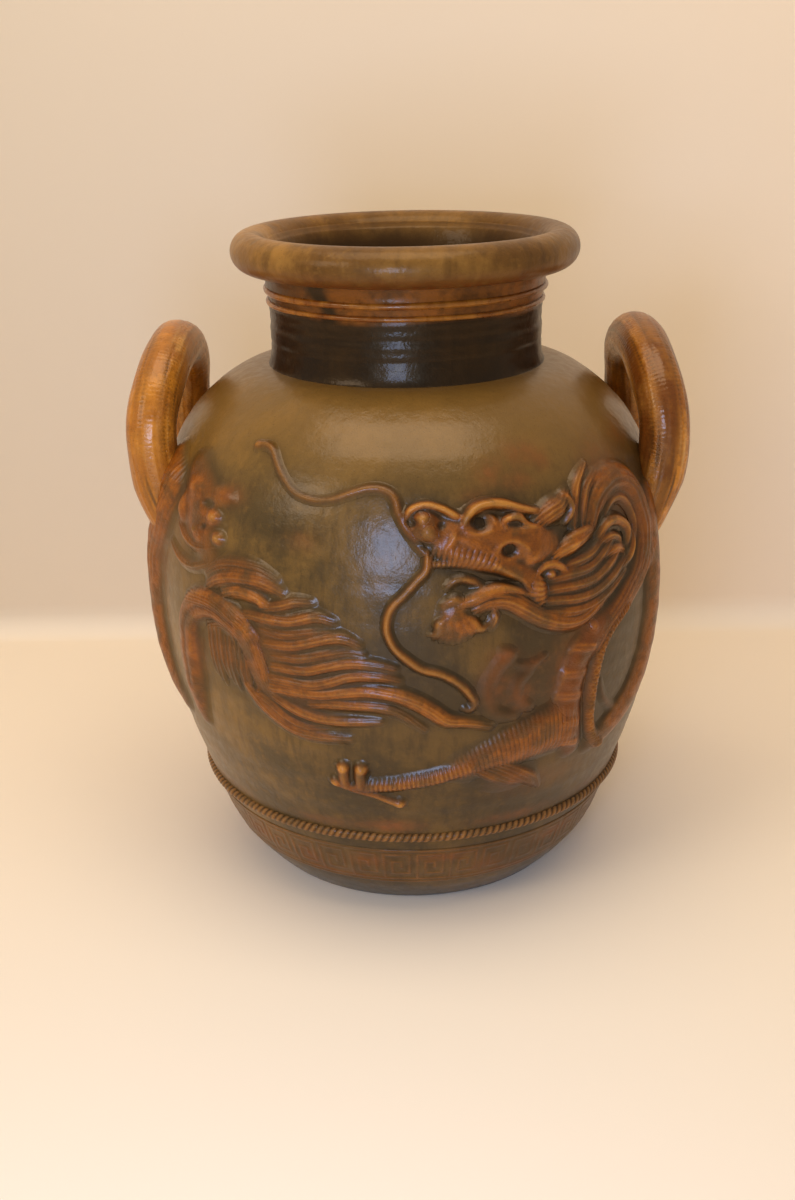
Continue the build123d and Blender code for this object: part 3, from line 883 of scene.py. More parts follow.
# Thin glossy glaze over the combed handles and the hoops: honey where it is thinnest.
AMBER = Glaze("amber_glaze", "#84420e", "#d2862a", "#4c260a", deep="#60320c", amber="#c87c20", thin_crest_and_highlight="#e8b468",
              cloud_mm=24.0, roughness=0.32, shine=0.7, coat=0.3)
# Glaze that pooled thick on the neck and in the eyes: nearly black.
DARK = Glaze("dark_glaze", "#170e08", "#38240f", "#0d0805", deep="#26180c", amber="#46301a", thin_crest_and_highlight="#4e3c28",
             red="#7c4412", roughness=0.36, shine=0.35, coat=0.14)
# Glaze that ran over the roll of the rim: brown with long streaks, painted darker and redder under the roll as
# painted shade.
RIM = Glaze("rim_glaze", "#6e481c", "#ae7c36", "#38220c", red="#66300e", run_mm=9.0, shine=0.45, coat=0.12)


@dataclass
class ShellSizes:
    """Sizes of the thrown wall's mesh, in mm. The base edge is a radius and a level, the rings are radii."""

    thickness: float = 9.0
    floor: float = 12.0
    start: float = 1.5
    outer_step: float = 2.4
    inner_step: float = 4.0
    inner_drop: float = 8.0
    base_rings: Row = (0.0, 30.0, 60.0, 90.0, 105.0, 108.0)
    base_edge: Row = (110.5, 0.4)
    seat_rings: Row = (94.0, 91.0, 88.0)
    floor_rings: Row = (104.0, 80.0, 40.0, 0.0)
    neck_place: float = 410.0
    columns: int = 420


@dataclass
class NeckSizes:
    """Sizes of the neck, its rings and the rolled rim, in mm.

    Tables are rows of radius and level. A ring is its level and its thickness from the middle out. The
    roll's ends are degrees round its own circle, and the drip is degrees round the jar.
    """

    radius: float = 91.5
    bore: float = 85.5
    foot_radius: float = 95.2
    foot_level: float = 356.4
    flare_top: float = 370.5
    lip_start: float = 392.0
    lip_top: float = 424.0
    lip_flare: float = 4.6
    top: float = 427.0
    row_step: float = 1.5
    flare_rows: int = 9
    seat: tuple[Row, ...] = ((88.0, 428.0), (88.0, 352.0), (93.5, 354.6))
    roll_radius: float = 12.7
    roll_middle: float = 103.2
    roll_level: float = 432.0
    roll_ends: Row = (-157.0, 155.0)
    roll_rows: int = 46
    ripple_share: float = 0.8
    ripple_place: float = 395.0
    throat: tuple[Row, ...] = ((91.7, 437.4), (89.6, 433.6), (88.2, 429.5), (87.2, 425.0), (86.4, 420.0))
    throat_shade: Row = (0.15, 0.4, 0.7, 0.9, 1.0)
    bore_levels: Row = (416.0, 351.0, -2.0)
    back: tuple[Row, ...] = ((88.4, 350.6), (88.4, 380.0), (88.4, 405.0), (89.0, 420.0))
    upper_ring: Row = (407.6, 2.4)
    lower_ring: Row = (399.4, 1.8)
    ring_columns: int = 360
    ring_sides: int = 16
    amber_from: float = 395.5
    drip_angle: float = 327.0
    columns: int = 420

    def outside(self, level: float) -> float:
        """The neck's outer radius in mm at a level, with the flare that runs up to the roll."""
        up = min(max((level - self.lip_start) / (self.lip_top - self.lip_start), 0.0), 1.0)
        return self.radius + self.lip_flare * up ** 1.5


@dataclass
class LoopSizes:
    """Sizes of a loop handle, in mm. Its angle is in degrees, and a share is a part of one."""

    stance: float = 119.0
    offset: float = 159.0
    bow: float = 9.0
    tuck: float = 16.0
    foot: float = 232.0
    spring: float = 314.0
    top: float = 366.5
    radius: float = 17.5
    foot_share: float = 0.66
    full_share: float = 0.4
    angle: float = 93.5
    leg_rows: int = 60
    rows: int = 420
    columns: int = 112
    comb_pitch: float = 2.3
    comb_depth: float = 0.30
    drawn_in: float = 0.9


@dataclass
class BandSizes:
    """Sizes of the rope and of the fret band, in mm. The fret's levels are distances up the outline."""

    rope_level: float = 70.5
    rope_radius: float = 3.9
    strands: int = 206
    rope_columns: int = 1650
    rope_sides: int = 24
    fret_bottom: float = 33.2
    fret_top: float = 70.4
    fret_step: float = 0.8
    fret_back: Row = (58.0, 45.0)
    fret_depth: float = 2.0
    fret_rise: float = 0.9
    fret_cells: int = 40
    fret_columns: int = 1320
    cell_width: float = 22.0
    cell_height: float = 37.0
    fret_line: float = 1.1
    fret_slope: float = 0.35


def lock(*places: Row, width: float = 11.0, rise: float = 6.0, tone: float = 0.5, pitch: float = 2.4,
         depth: float = 0.45, blend: float = 1.6) -> Strip:
    """A lock of hair: a tapering strip combed along."""
    return Strip(list(places), width, rise, Mark.COMB, pitch, depth, tone, blend)


def roll(*places: Row, width: float = 6.0, rise: float = 4.0, tone: float = 0.5, blend: float = 1.6) -> Strip:
    """A smooth rounded roll of clay."""
    return Strip(list(places), width, rise, tone=tone, blend=blend)


def filled(places: Table, shares: Row = ()) -> Table:
    """The places of a line with a share of fullness each, full everywhere where no shares are given."""
    return [(*place, share) for place, share in zip(places, shares or (1.0,) * len(places))]


def line(*places: Row, width: float = 3.0, rise: float = 1.2, tone: float = 0.6) -> Strip:
    """A thin line of clay added on the clay below, or a groove where the rise is below zero."""
    return Strip(filled(places), width, rise, tone=tone, added=True)


def beside(places: Table, away: float, **finish: float) -> Strip:
    """A line that keeps its distance from a row of places.

    Args:
        places: The places, each an angle and mm up the wall.
        away: The distance in mm, to the left of the way that the places go where it is above zero.
        finish: What the line is like otherwise.

    Returns:
        The line.
    """
    mm_per_degree = 2.7
    rows = np.array(places, float)
    east, north = np.gradient(rows[:, 0]) * mm_per_degree, np.gradient(rows[:, 1])
    size = np.hypot(east, north)
    moved = [(a - away * n / s / mm_per_degree, h + away * e / s)
             for a, h, e, n, s in zip(rows[:, 0], rows[:, 1], east, north, size)]
    return line(*moved, **finish)


NECK_EDGE: Table = [(63.5, 256), (57, 243), (50.6, 231), (45.9, 222), (43.6, 213), (42.2, 202), (41.4, 188),
                    (41.2, 172), (41.8, 158), (43.6, 146), (47, 135)]
JAW_BUNDLE: Table = [(13, 255), (16, 258), (20, 256.6), (23.6, 250), (27, 242.6), (31.4, 237), (36.4, 236),
                     (41, 240.6), (45.4, 247)]
ARCH: Table = [(41.6, 295), (43.2, 304.6), (46.8, 313), (51.6, 316), (56.4, 310.6), (59.6, 300), (61.4, 286),
               (61.6, 270), (60, 255), (56, 243)]
LEG: Table = [(-54.4, 152), (-54.6, 178.4), (-54.8, 205), (-53.6, 226.3), (-49.4, 239), (-43.4, 242), (-37.6, 236),
              (-34, 224.6), (-32, 208.3), (-30.4, 194.3)]

CLAY: dict[str, list] = {
    "haunch": [
        Strip([(-56, 322, .5), (-53.4, 310, 1), (-51, 298, 1.1), (-49, 286, .9), (-47, 274, .4)], 38, 4.2, tone=.5,
              blend=4, flatness=2.6),
        Boss(-54, 312, 24, 18, 6.4, tone=.7, blend=2.6), Boss(-44.4, 312, 19, 15, 3.2, tone=.8, blend=4),
        Boss(-58.6, 296, 14, 22, 6, tone=.9, blend=2.6), Boss(-46, 297.6, 15, 12, 6.6, tone=.7, blend=2.2),
        Boss(-51.4, 287, 11, 10, 6.2, tone=.5, blend=2), Boss(-44, 285.4, 12, 10, 6, tone=.7, blend=2.2),
        Boss(-42.6, 293.4, 8, 7, 1, tone=.2, added=True), Boss(-48.4, 305, 15, 9, -3.2, tone=.1),
        Boss(-48.4, 290.6, 8, 6, -2, tone=.1), Boss(-41.6, 289, 7, 6, -1.6, tone=.1),
        Boss(-50.6, 284.6, 8, 8, 1.1, tone=.5, ring=True),
        lock((-60, 284, .5), (-56, 278, 1), (-51, 275.4, .9), (-45, 279, .3), width=8, rise=4, tone=.45),
        lock((-64, 268, .5), (-58, 262, 1), (-52, 262, .9), (-46, 268, .3), width=8, rise=3.4, tone=.5),
        Strip([(-70, 322, .5), (-68, 306, 1), (-71, 284, 1), (-76, 262, 1), (-79, 236, 1), (-80, 208, 1),
               (-78, 182, .9), (-73, 162, .6), (-66, 150, .3)], 34, 9.5, tone=.6, blend=4, flatness=2),
        Strip([(-64, 318, .8), (-66, 300, 1), (-70, 280, 1), (-75, 258, .9), (-78, 236, .5)], 22, .5, Mark.COMB, 3.2,
              .45, .8, added=True),
    ],
    "tail_plume": [
        Boss(-30, 228, 66, 42, 2.2, tilt=10, tone=.3, blend=3), Boss(-24, 198, 62, 44, 2, tilt=-6, tone=.25, blend=3),
        lock((-47, 262, .5), (-43, 269, 1), (-38, 273.4, 1.1), (-32.6, 272.8, .8), (-28, 268, .3), width=10.5, rise=3,
             tone=.3),
        lock((-46, 255, .6), (-42, 261, 1), (-37, 265.6, 1.2), (-31.6, 265.8, 1.1), (-26.6, 261, .4), width=12,
             rise=4.6, tone=.5),
        lock((-41, 253, .6), (-36.6, 256.6, 1.1), (-32.4, 255.6, 1), (-29.4, 251, .5), width=11.1, rise=4.8, tone=.8),
        lock((-31, 250, .5), (-27, 252.2, 1), (-23.4, 256.4, .8), (-20, 257.4, .3), width=9.6, rise=3.8, tone=.4),
        lock((-35, 243, .6), (-30, 243, 1), (-24.4, 244.4, 1), (-19, 248.4, .9), (-15.4, 246.4, .3), width=10.2,
             rise=4.4, tone=.5),
        lock((-31, 235.6, .6), (-26, 234.6, 1), (-20.6, 238.6, .9), (-16.6, 240.6, .3), width=8.7, rise=3.8,
             tone=.35),
        lock((-30, 227, .6), (-24.4, 228.2, 1), (-18.4, 234.4, 1), (-14, 236.6, .9), (-10.4, 233, .3), width=10.5,
             rise=4.6, tone=.5),
        lock((-28.6, 219.6, .6), (-23, 220.4, 1), (-17.4, 225.6, .9), (-12.6, 228, .5), (-9.6, 227, .3), width=9,
             rise=4, tone=.4),
        lock((-28.6, 212, .7), (-22, 212.8, 1), (-16.8, 217.7, 1), (-12, 220.6, .9), (-6.4, 220, .6), (-3.4, 218, .3),
             width=10.5, rise=4.6, tone=.55),
        lock((-29, 204, .8), (-21.5, 204, 1), (-16.4, 207.6, 1), (-11.4, 212.2, 1), (-6, 212.8, .8), (-2.6, 210, .3),
             width=10.2, rise=4.6, tone=.5),
        lock((-29, 197.6, .9), (-20, 198, 1), (-13.7, 200.9, 1.1), (-8.5, 202.6, 1.1), (-3.3, 200.6, 1.15),
             (.8, 195.2, 1.2), (4, 188.6, 1.2), (7.2, 181.6, 1), (11, 179, .7), (16, 173.8, .3), width=10.8, rise=4.9,
             tone=.7),
        lock((-20.6, 190, .6), (-14.4, 192.4, 1), (-8.5, 192.8, 1), (-4.4, 190.4, .9), (-1.2, 184.9, .5),
             (2.4, 176, .3), width=10.2, rise=4.4, tone=.6),
        lock((-29, 191, .7), (-24.4, 184.6, 1), (-19, 181.2, 1), (-13.7, 180.6, .9), (-6.4, 181, .3), width=10.2,
             rise=4.6, tone=.55),
        lock((-33, 190, .8), (-30, 184.6, 1), (-26.4, 178, 1), (-22, 173.6, .9), (-17.6, 173, .3), width=9.6,
             rise=4.4, tone=.45),
        lock((-36, 194.3, .7), (-33, 185.4, 1), (-29.4, 177, 1.1), (-24.8, 169.8, 1.1), (-19.8, 167.4, 1),
             (-13, 167, .3), width=10.8, rise=4.4, tone=.55),
        Boss(-31.4, 251.6, 8, 7, 1, tone=1, added=True),
    ],
    "hind_leg": [
        Strip(filled(LEG, (.4, 1.05, 1.1, 1, .95, .9, .82, .66, .5, .3)), 24, 6.8, tone=.5, blend=4, flatness=2.4),
        Strip([(-60, 226, 1), (-57.6, 237, 1), (-53, 244, 1), (-47, 245.6, 1), (-41.6, 243.4, 1), (-37, 236.6, 1)],
              15, .5, Mark.COMB, 1.9, .5, .5, added=True),
        Strip([(-36.6, 238, 1), (-33.4, 228, 1), (-31.6, 214, 1), (-30.8, 202, .5)], 9, .5, Mark.COMB, 1.9, .5, .6,
              added=True),
        beside(LEG[2:], -6.6, width=5, rise=1.3, tone=.45), beside(LEG[:8], 7.4, width=5, rise=1.2, tone=.65),
        beside(LEG[1:7], -1.4, width=4.4, rise=-.9, tone=.25), Boss(-34.2, 233, 10, 13, .9, tone=.95, added=True),
        Boss(-52, 203, 12, 16, .8, tone=1, added=True), Boss(-47.4, 216.4, 9, 12, -1.6, tone=.05),
    ],
    "leg_hair": [
        *[lock((-46.4 + i * 1.3, 226 + 2.4 * math.sin(i), .8), (-46.2 + i * 1.36, 211 - i, 1),
               (-45.6 + i * 1.46, 194 - 3 * (i % 3), .3), width=3.8, rise=3.8 + .4 * (i % 2), tone=.45, blend=1)
          for i in range(9)],
        Strip([(-46, 228, .7), (-42, 231, 1), (-38.4, 227, .8)], 9, 3, Mark.COMB, 2, .4, .4, 3),
    ],
    "body": [
        Strip([(68, 292, .7), (66.6, 264, .95), (66.6, 235.8, 1), (66, 207, 1), (63.4, 179.6, 1), (58, 157.9, .95),
               (50.6, 144.3, .8), (44.5, 137.8, .4)], 27, 5.8, tone=.55, blend=4, flatness=2.4),
        Strip([(69.4, 300, .7), (70.4, 264, 1), (70.8, 235, 1), (70, 205, 1), (67.4, 178, 1), (61.6, 155, .7)], 11,
              .6, Mark.COMB, 2.8, .45, .8, added=True),
        line((62.4, 262), (62, 236), (61.6, 209), (59, 184), (54, 164), (47.6, 151), width=6, rise=1.2, tone=.7),
        roll((44.4, 184, .4), (46.4, 170, 1), (51.4, 157, 1), (57, 149, .4), width=5, rise=1.4, tone=.5, blend=2),
    ],
    "neck": [
        Strip([(60.5, 271, .4), (58.4, 256.2, .5), (54, 243.9, .65), (48, 231.2, .8), (41.2, 220.6, .9),
               (36.8, 208.3, .8), (35.2, 192.7, .8), (34.6, 176.3, .85), (35.2, 159.9, .95), (37.4, 143, .6)], 25,
              5.6, tone=.12, blend=3, flatness=3),
        line((36.4, 224), (33.2, 212), (32.4, 198), (31, 186), (30.2, 172), (30.6, 158), width=4.4, rise=1.5,
             tone=.75),
        *[line((32 - k, h + 1.5), (35.4 - k, h + .6), (38.8 - k, h - 1.8), width=3.2, rise=2.4, tone=.9)
          for h, k in ((218, -1.2), (215, -1), (201, 0), (198, 0), (186, .9), (183, 1), (167, 1.4), (164, 1.4),
                       (151, 1), (148, .8))],
        *[Boss(35.6 - k, h, 18, 12, 1.5, tone=.05, added=True)
          for h, k in ((208, 0), (192, .6), (175.4, 1), (157, .6))],
        *[beside([(60, 268), (57, 253), (51.4, 240), (45.6, 229)], away, width=2.6, rise=.9, tone=.5)
          for away in (-4.5, -1.5, 1.5, 4.5)],
    ],
    "back_ridge": [
        Strip(filled(NECK_EDGE), 10.5, 4.8, tone=.5, blend=2.6, flatness=2.6),
        Strip(filled(NECK_EDGE[2:]), 7.6, .4, Mark.SCALES, 2.6, 1.2, .6, added=True),
        beside(NECK_EDGE, -4.6, width=2.4, rise=1.1, tone=.75), beside(NECK_EDGE, 4.6, width=2.4, rise=1.1, tone=.7),
    ],
    "foreleg": [
        Strip([(32.6, 162, 1), (26.6, 159.6, .9), (20.5, 155, .74), (15.5, 149.7, .52), (11, 144.4, .34)], 37, 6.4,
              tone=.7, blend=3, flatness=2.2),
        Strip([(32, 162, 1), (26, 159.4, .9), (20.5, 155, .74), (15.5, 149.7, .52), (11, 144.4, .34)], 35, .3,
              Mark.RIBS, 3, .75, .6, added=True),
        Strip([(30.6, 178, 1), (25.8, 171.6, 1), (21.4, 166.4, 1), (16.8, 160.6, 1), (12.6, 152.6, .8)], 11, .9,
              tone=.25, added=True),
        Strip([(12, 145, 1), (5.6, 139, .98), (1, 135.9, .92), (-3.8, 132.8, .86), (-8.6, 130.8, .8),
               (-13.6, 129.6, .8)], 12.5, 4.6, tone=.5, blend=2.4, flatness=2.4),
        Strip([(12, 145, 1), (5.6, 139, .98), (1, 135.9, .92), (-3.8, 132.8, .86), (-9.6, 130.6, .8)], 12, .2,
              Mark.RIBS, 3, .9, .5, added=True),
    ],
    "claws": [
        roll((-14.6, 130, .9), (-15, 138, 1), (-14.8, 144.6, 1), width=9.4, rise=5.6, tone=.35),
        roll((-11.4, 130, .9), (-11.5, 138, 1), (-11.3, 144.6, 1), width=9.4, rise=5.6, tone=.35),
        roll((-13.6, 129.1, .7), (-16, 130.3, .8), (-17.4, 132.4, .9), width=8, rise=4.6, tone=.45),
        roll((-13, 126.4, .7), (-8.6, 123.4, .8), (-6.4, 120.4, .8), (-3.1, 116.4, 1), width=7.4, rise=4.6, tone=.5),
        Boss(-15, 144.8, 10, 9.5, 6.4, tone=.9), Boss(-11, 144.8, 10, 9.5, 6.4, tone=.9),
        Boss(-17, 132, 8, 7.5, 5, tone=.8), Boss(-3, 116.4, 9, 8, 5, tone=.8),
        line((-13, 149), (-13.2, 141), (-13, 133), width=2.6, rise=-2.2, tone=.1),
    ],
    "elbow_tuft": [
        Boss(21, 131, 30, 18, 2, tone=.3, blend=3),
        *[lock((13.4 + i * 1.3, 141 + i * .6, .6), (16.6 + i * 1.6, 134.6 + i * .2, 1),
               (20 + i * 1.7, 129 - i * .4, .9), (24 + i * 1.3, 123 - i * 1.2 + 2.4 * math.sin(i), .3), width=4.6,
               rise=3.8, tone=.4 + .12 * (i % 2), blend=1.2) for i in range(6)],
        roll((20.8, 133, .4), (24.4, 128, 1), (27.6, 121.4, .9), (28.2, 119, .4), width=5, rise=3.6, tone=.3),
    ],
    "flames": [
        roll((19.6, 223, .4), (17.4, 214, .9), (15.6, 204, 1), (15.6, 192, 1), (17.6, 182, .8), (21.4, 178.4, .3),
             width=8, rise=1.5, tone=.25, blend=3),
        roll((19, 216, .3), (20.4, 222, 1), (18.4, 226, .4), width=6, rise=1.5, tone=.3, blend=3),
        roll((24.4, 208, .4), (21.8, 200, 1), (22, 190, .9), (25, 183, .4), width=7, rise=1.4, tone=.25, blend=3),
        roll((22, 214, .4), (25, 212, 1), (28, 216, .3), width=5, rise=1.2, tone=.2, blend=3),
    ],
    "upper_whisker": [
        roll((-39, 348.1, .9), (-36.9, 349.4, 1.2), (-34, 346.9, 1), (-29.8, 333.7, .9), (-25.6, 323.4, .9),
             (-21, 319.8, .9), (-16.7, 320.6, .9), (-12.5, 325.1, 1), (-8.6, 328.4, 1.1), (-5.2, 327.6, 1.2),
             (-3, 322.7, 1.3), (-2.2, 315, 1.3), (-.8, 306, 1.2), (1.2, 297, 1.2), (3.2, 290, 1.1), width=5.2,
             rise=3.2, tone=.3, blend=1.6),
        Boss(-38.8, 348.4, 7.5, 7, 3.4, tone=.7),
    ],
    "lower_whisker": [
        roll((3.6, 287, 1), (3.2, 279.6, 1), (1.5, 273.9, 1), (-1.3, 264.9, 1), (-3.4, 258.3, 1), (-4.5, 250.9, 1),
             (-4.6, 241.9, 1), (-3.2, 231.7, 1), (-.3, 223, 1.1), (2.4, 217.3, 1.1), (6, 213.6, 1.1),
             (9.6, 206.2, 1.1), (11.7, 198.4, 1), (12.8, 191.5, .8), (11.9, 187.4, .6), (10.6, 188.6, .4), width=5.8,
             rise=4, tone=.55, blend=1.4),
    ],
    "lower_jaw": [
        roll((8.6, 255, .4), (11.6, 259.6, .8), (15, 263.8, 1), (19, 265.4, 1), (22.4, 263.4, .9), (24.6, 258, .5),
             width=10, rise=5.6, tone=.75),
        roll((7.2, 268.6, .4), (8.6, 272.4, .9), (10.4, 273.6, 1), (12.6, 271.4, .8), (14.4, 268, .4), width=6,
             rise=4, tone=.7),
        Boss(26.2, 261, 15, 25, 6, tilt=14, tone=.55, blend=2.6),
        Strip([(26.8, 272, 1), (26.2, 264, 1), (26.4, 256, 1), (27, 249, 1)], 12, .4, Mark.RIBS, 3.4, .9, .6,
              added=True),
        roll((25.6, 268.6, .4), (27.4, 274, .9), (29.8, 275, 1), (32.2, 271, .9), (32.8, 266.6, .4), width=7,
             rise=6.4, tone=.7),
        Boss(29.4, 269, 8, 7, 6.2, tone=.5), *[beside(JAW_BUNDLE[:6], away, width=2.6, rise=.9) for away in (-3, 3)],
    ],
    "beard": [
        Boss(8.8, 250, 20, 22, 4, tone=.6, blend=3),
        *[roll((8.6 + .34 * i, 254 - abs(i) * .5, .6), (8.2 + .76 * i, 247.4, 1), (8.7 + .95 * i, 240.6, .9),
               (8.2 + 1.25 * i, 233 + .42 * i * i, .3), width=3.3, rise=4.8 + .5 * (i % 2), tone=.5 + .2 * (i % 2),
               blend=.5) for i in range(-4, 7)],
        roll((6.4, 258, .5), (8.6, 261, 1), (11.2, 258.6, .5), width=7, rise=4.4, tone=.7),
        lock((16.6, 253, .6), (16.9, 247, 1), (16.2, 241, .3), width=6, rise=3.8, tone=.5),
    ],
    "mane_locks": [
        Boss(36, 262, 52, 30, 4, tone=.1, blend=3),
        Strip(filled(JAW_BUNDLE, (.5, .7, .9, 1, 1, 1, .9, .7, .3)), 14, 5.8, Mark.COMB, 2.8, .55, .5, 2.4),
        *[beside(JAW_BUNDLE, away, width=3.1, rise=.8, tone=.65) for away in (-4, 0, 4)],
        lock((30, 266, .5), (34, 266.4, 1), (39.4, 267.6, .9), (44.4, 273.6, .7), (48, 281, .3), width=10.2, rise=6.2,
             tone=.35),
        lock((29.4, 259, .5), (35, 258.4, 1), (41, 259.6, .9), (46.4, 265, .7), (50.4, 272.6, .3), width=10.2, rise=6,
             tone=.5),
        lock((28.4, 252.4, .5), (34.6, 250, 1), (41, 251, .9), (47, 256, .7), (51.6, 264, .3), width=10.2, rise=6,
             tone=.45),
        lock((27.4, 247, .4), (33, 243, 1), (39.6, 243.4, .9), (46, 247.4, .7), (51.6, 255.4, .3), width=9.6,
             rise=5.8, tone=.5),
        lock((31.4, 271.6, .5), (36, 272.8, 1), (40.6, 275.6, .8), (44.4, 281.4, .3), width=8.4, rise=5.8, tone=.2),
        Boss(40.2, 227.5, 9, 10, 6.4, tone=.95, blend=2), Boss(42, 221.4, 7, 7, 5.8, tone=.7, blend=2),
    ],
    "mane_crest": [
        Strip(filled(ARCH, (.5, .8, 1, 1, 1, 1, 1, .9, .7, .4)), 21, 5.8, Mark.COMB, 4.4, .7, .45, 3, 2.4),
        *[beside(ARCH, away, width=3, rise=1, tone=tone)
          for away, tone in ((-6.5, .5), (-2.2, .2), (2.2, .65), (6.8, .7))],
        lock((46.4, 296, .4), (49, 302.6, .9), (52.6, 302, 1), (55.4, 294.4, .9), (56.8, 283, .8), (56.2, 270, .4),
             width=7, rise=5.2, tone=.25),
        lock((36.6, 294, .4), (37.6, 309, .9), (39.6, 321, 1), (43.8, 329.6, .4), width=8, rise=4.8, tone=.5),
        lock((38.8, 294, .4), (39.8, 306, .9), (41.9, 316.6, 1), (46.2, 323.6, .35), width=7.5, rise=5, tone=.35),
    ],
    "mane_curls": [
        lock((43.4, 284, .4), (46.6, 290, 1), (50.4, 289, 1), (53.4, 281.6, .9), (53.4, 272, .4), width=8.5, rise=5.6,
             tone=.6),
        lock((43, 279, .4), (46.4, 281.6, 1), (49.6, 278.6, .8), (50.4, 273, .4), width=6.9, rise=5.2, tone=.4),
        lock((44.5, 269.8, .4), (48, 272.4, 1), (51.5, 269, .5), width=8, rise=5, tone=.75),
        lock((49.4, 258, .4), (53.4, 263, 1), (55.4, 271, .9), (55, 280, .3), width=6.9, rise=4.8, tone=.4),
    ],
    "head": [
        Boss(25.6, 287.8, 28, 28, 7.6, tone=.5, blend=3),
        Strip([(29.5, 288, .5), (24.5, 290.5, .9), (17.6, 296, 1), (11, 300.4, .8), (6.5, 303, .5)], 30, 6.6,
              tone=.45, blend=3, flatness=2.4),
        Strip([(24, 270.6, .7), (17, 282.9, .95), (10, 290.7, .9), (4.6, 299.2, .6)], 22, 6, tone=.4, blend=3,
              flatness=2.4),
        Boss(3.2, 306.7, 21, 25, 7.8, tone=.3, blend=2.6),
        roll((-.6, 311, .5), (.4, 316, .9), (3.4, 318.4, 1), (6.8, 315.8, 1), (9.4, 311.6, .9), (11.6, 309.6, .4),
             width=5.4, rise=7.4, tone=.65),
        Boss(.8, 308.4, 7.5, 6, -3.4, tone=0, added=True), Boss(6.6, 306.2, 7, 5, -2.4, tone=0, added=True),
        Strip([(-.4, 298.6, .5), (1.4, 295.4, 1), (4.6, 294.4, .6)], 4.4, -2.2, tone=0, added=True),
        roll((8.4, 306, .4), (9, 300.6, .9), (8, 294.6, .9), (6.2, 290.4, .4), width=5.4, rise=7.6, tone=.7),
        Strip([(4.6, 288.6, 1), (8.4, 287.6, 1), (12.4, 285.6, 1), (16.6, 281.4, 1)], 11, .5, Mark.RIBS, 3.4, .9, .5,
              added=True),
        Strip([(4.8, 283.4, 1), (9, 282.8, 1), (13.4, 280.4, 1), (17.4, 276.2, 1)], 4.6, 3.6, Mark.RIBS, 3, .9, .5,
              1.4),
        line((17, 280), (19.4, 275.4), (22.3, 269), (24, 262), width=5, rise=1.6, tone=.75),
        Strip([(13, 277, .4), (16.4, 274, 1), (19.4, 270, 1), (22.2, 266, 1), (23.6, 261.5, .6)], 6, -3.6, tone=0,
              added=True),
        Boss(14.3, 305.7, 13, 11.6, -5.6, tone=0), Boss(20.1, 288.3, 12.4, 11.4, -5.6, tone=0),
        roll((11, 303, .5), (11.6, 309.4, .9), (13.6, 314.8, 1), (16.8, 316.6, 1), (20, 315.2, 1), (23.6, 311.4, .9),
             (27.4, 308.6, .5), width=8, rise=8, tone=.55),
        line((10.8, 306), (12, 310.4), (14.6, 312), (17, 309.6), (17.6, 305.4), width=3.4, rise=1.6, tone=.85),
        line((17, 288), (18.4, 292), (20.6, 293.2), (22.8, 291), (24, 286.6), width=3.6, rise=1.9, tone=.6),
        line((17.4, 285.6), (19.6, 282.6), (22.6, 283.6), width=2.6, rise=1.2, tone=.6),
        line((11.4, 302), (13.6, 299.6), (16.6, 301), width=2.6, rise=1.2, tone=.7),
        *[Strip([(23.6 + k, 299.6, 1), (27 + k, 298, 1), (29.6 + k, 292.4, 1), (29.4 + k, 284.6, 1),
                 (27.4 + k, 278.6, 1)], 3, .8, tone=.55, added=True) for k in (-3.4, -2.2, -1, .2, 1.4)],
        *[line((9.6 + k, 299 - k), (12.6 + k, 294.6 - k), (14.8 + k, 288.6 - k), width=2.2, rise=.9)
          for k in (-1.6, .4, 2.2)],
        Boss(24.6, 281, 12, 10, .9, tone=.8, added=True),
    ],
    "ears": [
        lock((27.6, 302, .6), (30.6, 305.9, 1), (33.4, 309, .9), (35.6, 314.4, .3), width=17, rise=6.8, tone=.5,
             pitch=2.6, depth=.5, blend=2),
        roll((34.6, 298, .5), (36, 305, 1), (35.8, 312, .8), (34.6, 317, .3), width=6, rise=6.8, tone=.85),
        line((29.6, 298), (33, 300.4), (35, 305), width=3.4, rise=-1.8, tone=.1),
        lock((30.5, 279.2, .5), (33.8, 282.6, .9), (37.4, 285.4, .8), (41, 288.4, .3), width=13, rise=7.2, tone=.7,
             pitch=2.6, depth=.45, blend=2),
        roll((31.6, 284.8, .4), (35, 289, .9), (39, 291, .9), (42.4, 290.4, .3), width=5, rise=6.4, tone=.5),
        Boss(35, 283, 11, 7, 1.2, tilt=30, tone=1, added=True),
    ],
    "brows": [
        roll((18.4, 303, .5), (20.4, 307, .9), (22.6, 306.8, 1), (24.4, 303, .7), (26, 300, .3), width=6.6, rise=8.4,
             tone=.95),
        roll((21.6, 299, .4), (24.4, 300.6, 1), (27.4, 298, .8), (29.4, 294, .3), width=5.4, rise=7.6, tone=.6),
        Boss(19.5, 301.8, 5.5, 5.5, 8.2, tone=.6),
    ],
    "eyes": [
        Boss(14.3, 305.9, 8.2, 7.2, 3.2, tone=0, added=True), Boss(20.1, 288.5, 8, 7.2, 3.2, tone=0, added=True),
    ],
    "nostrils": [
        Boss(2.4, 311, 12, 10, 2.2, tone=.35, added=True), Boss(3.9, 301.4, 13, 12, 2.6, tone=.7, added=True),
    ],
}


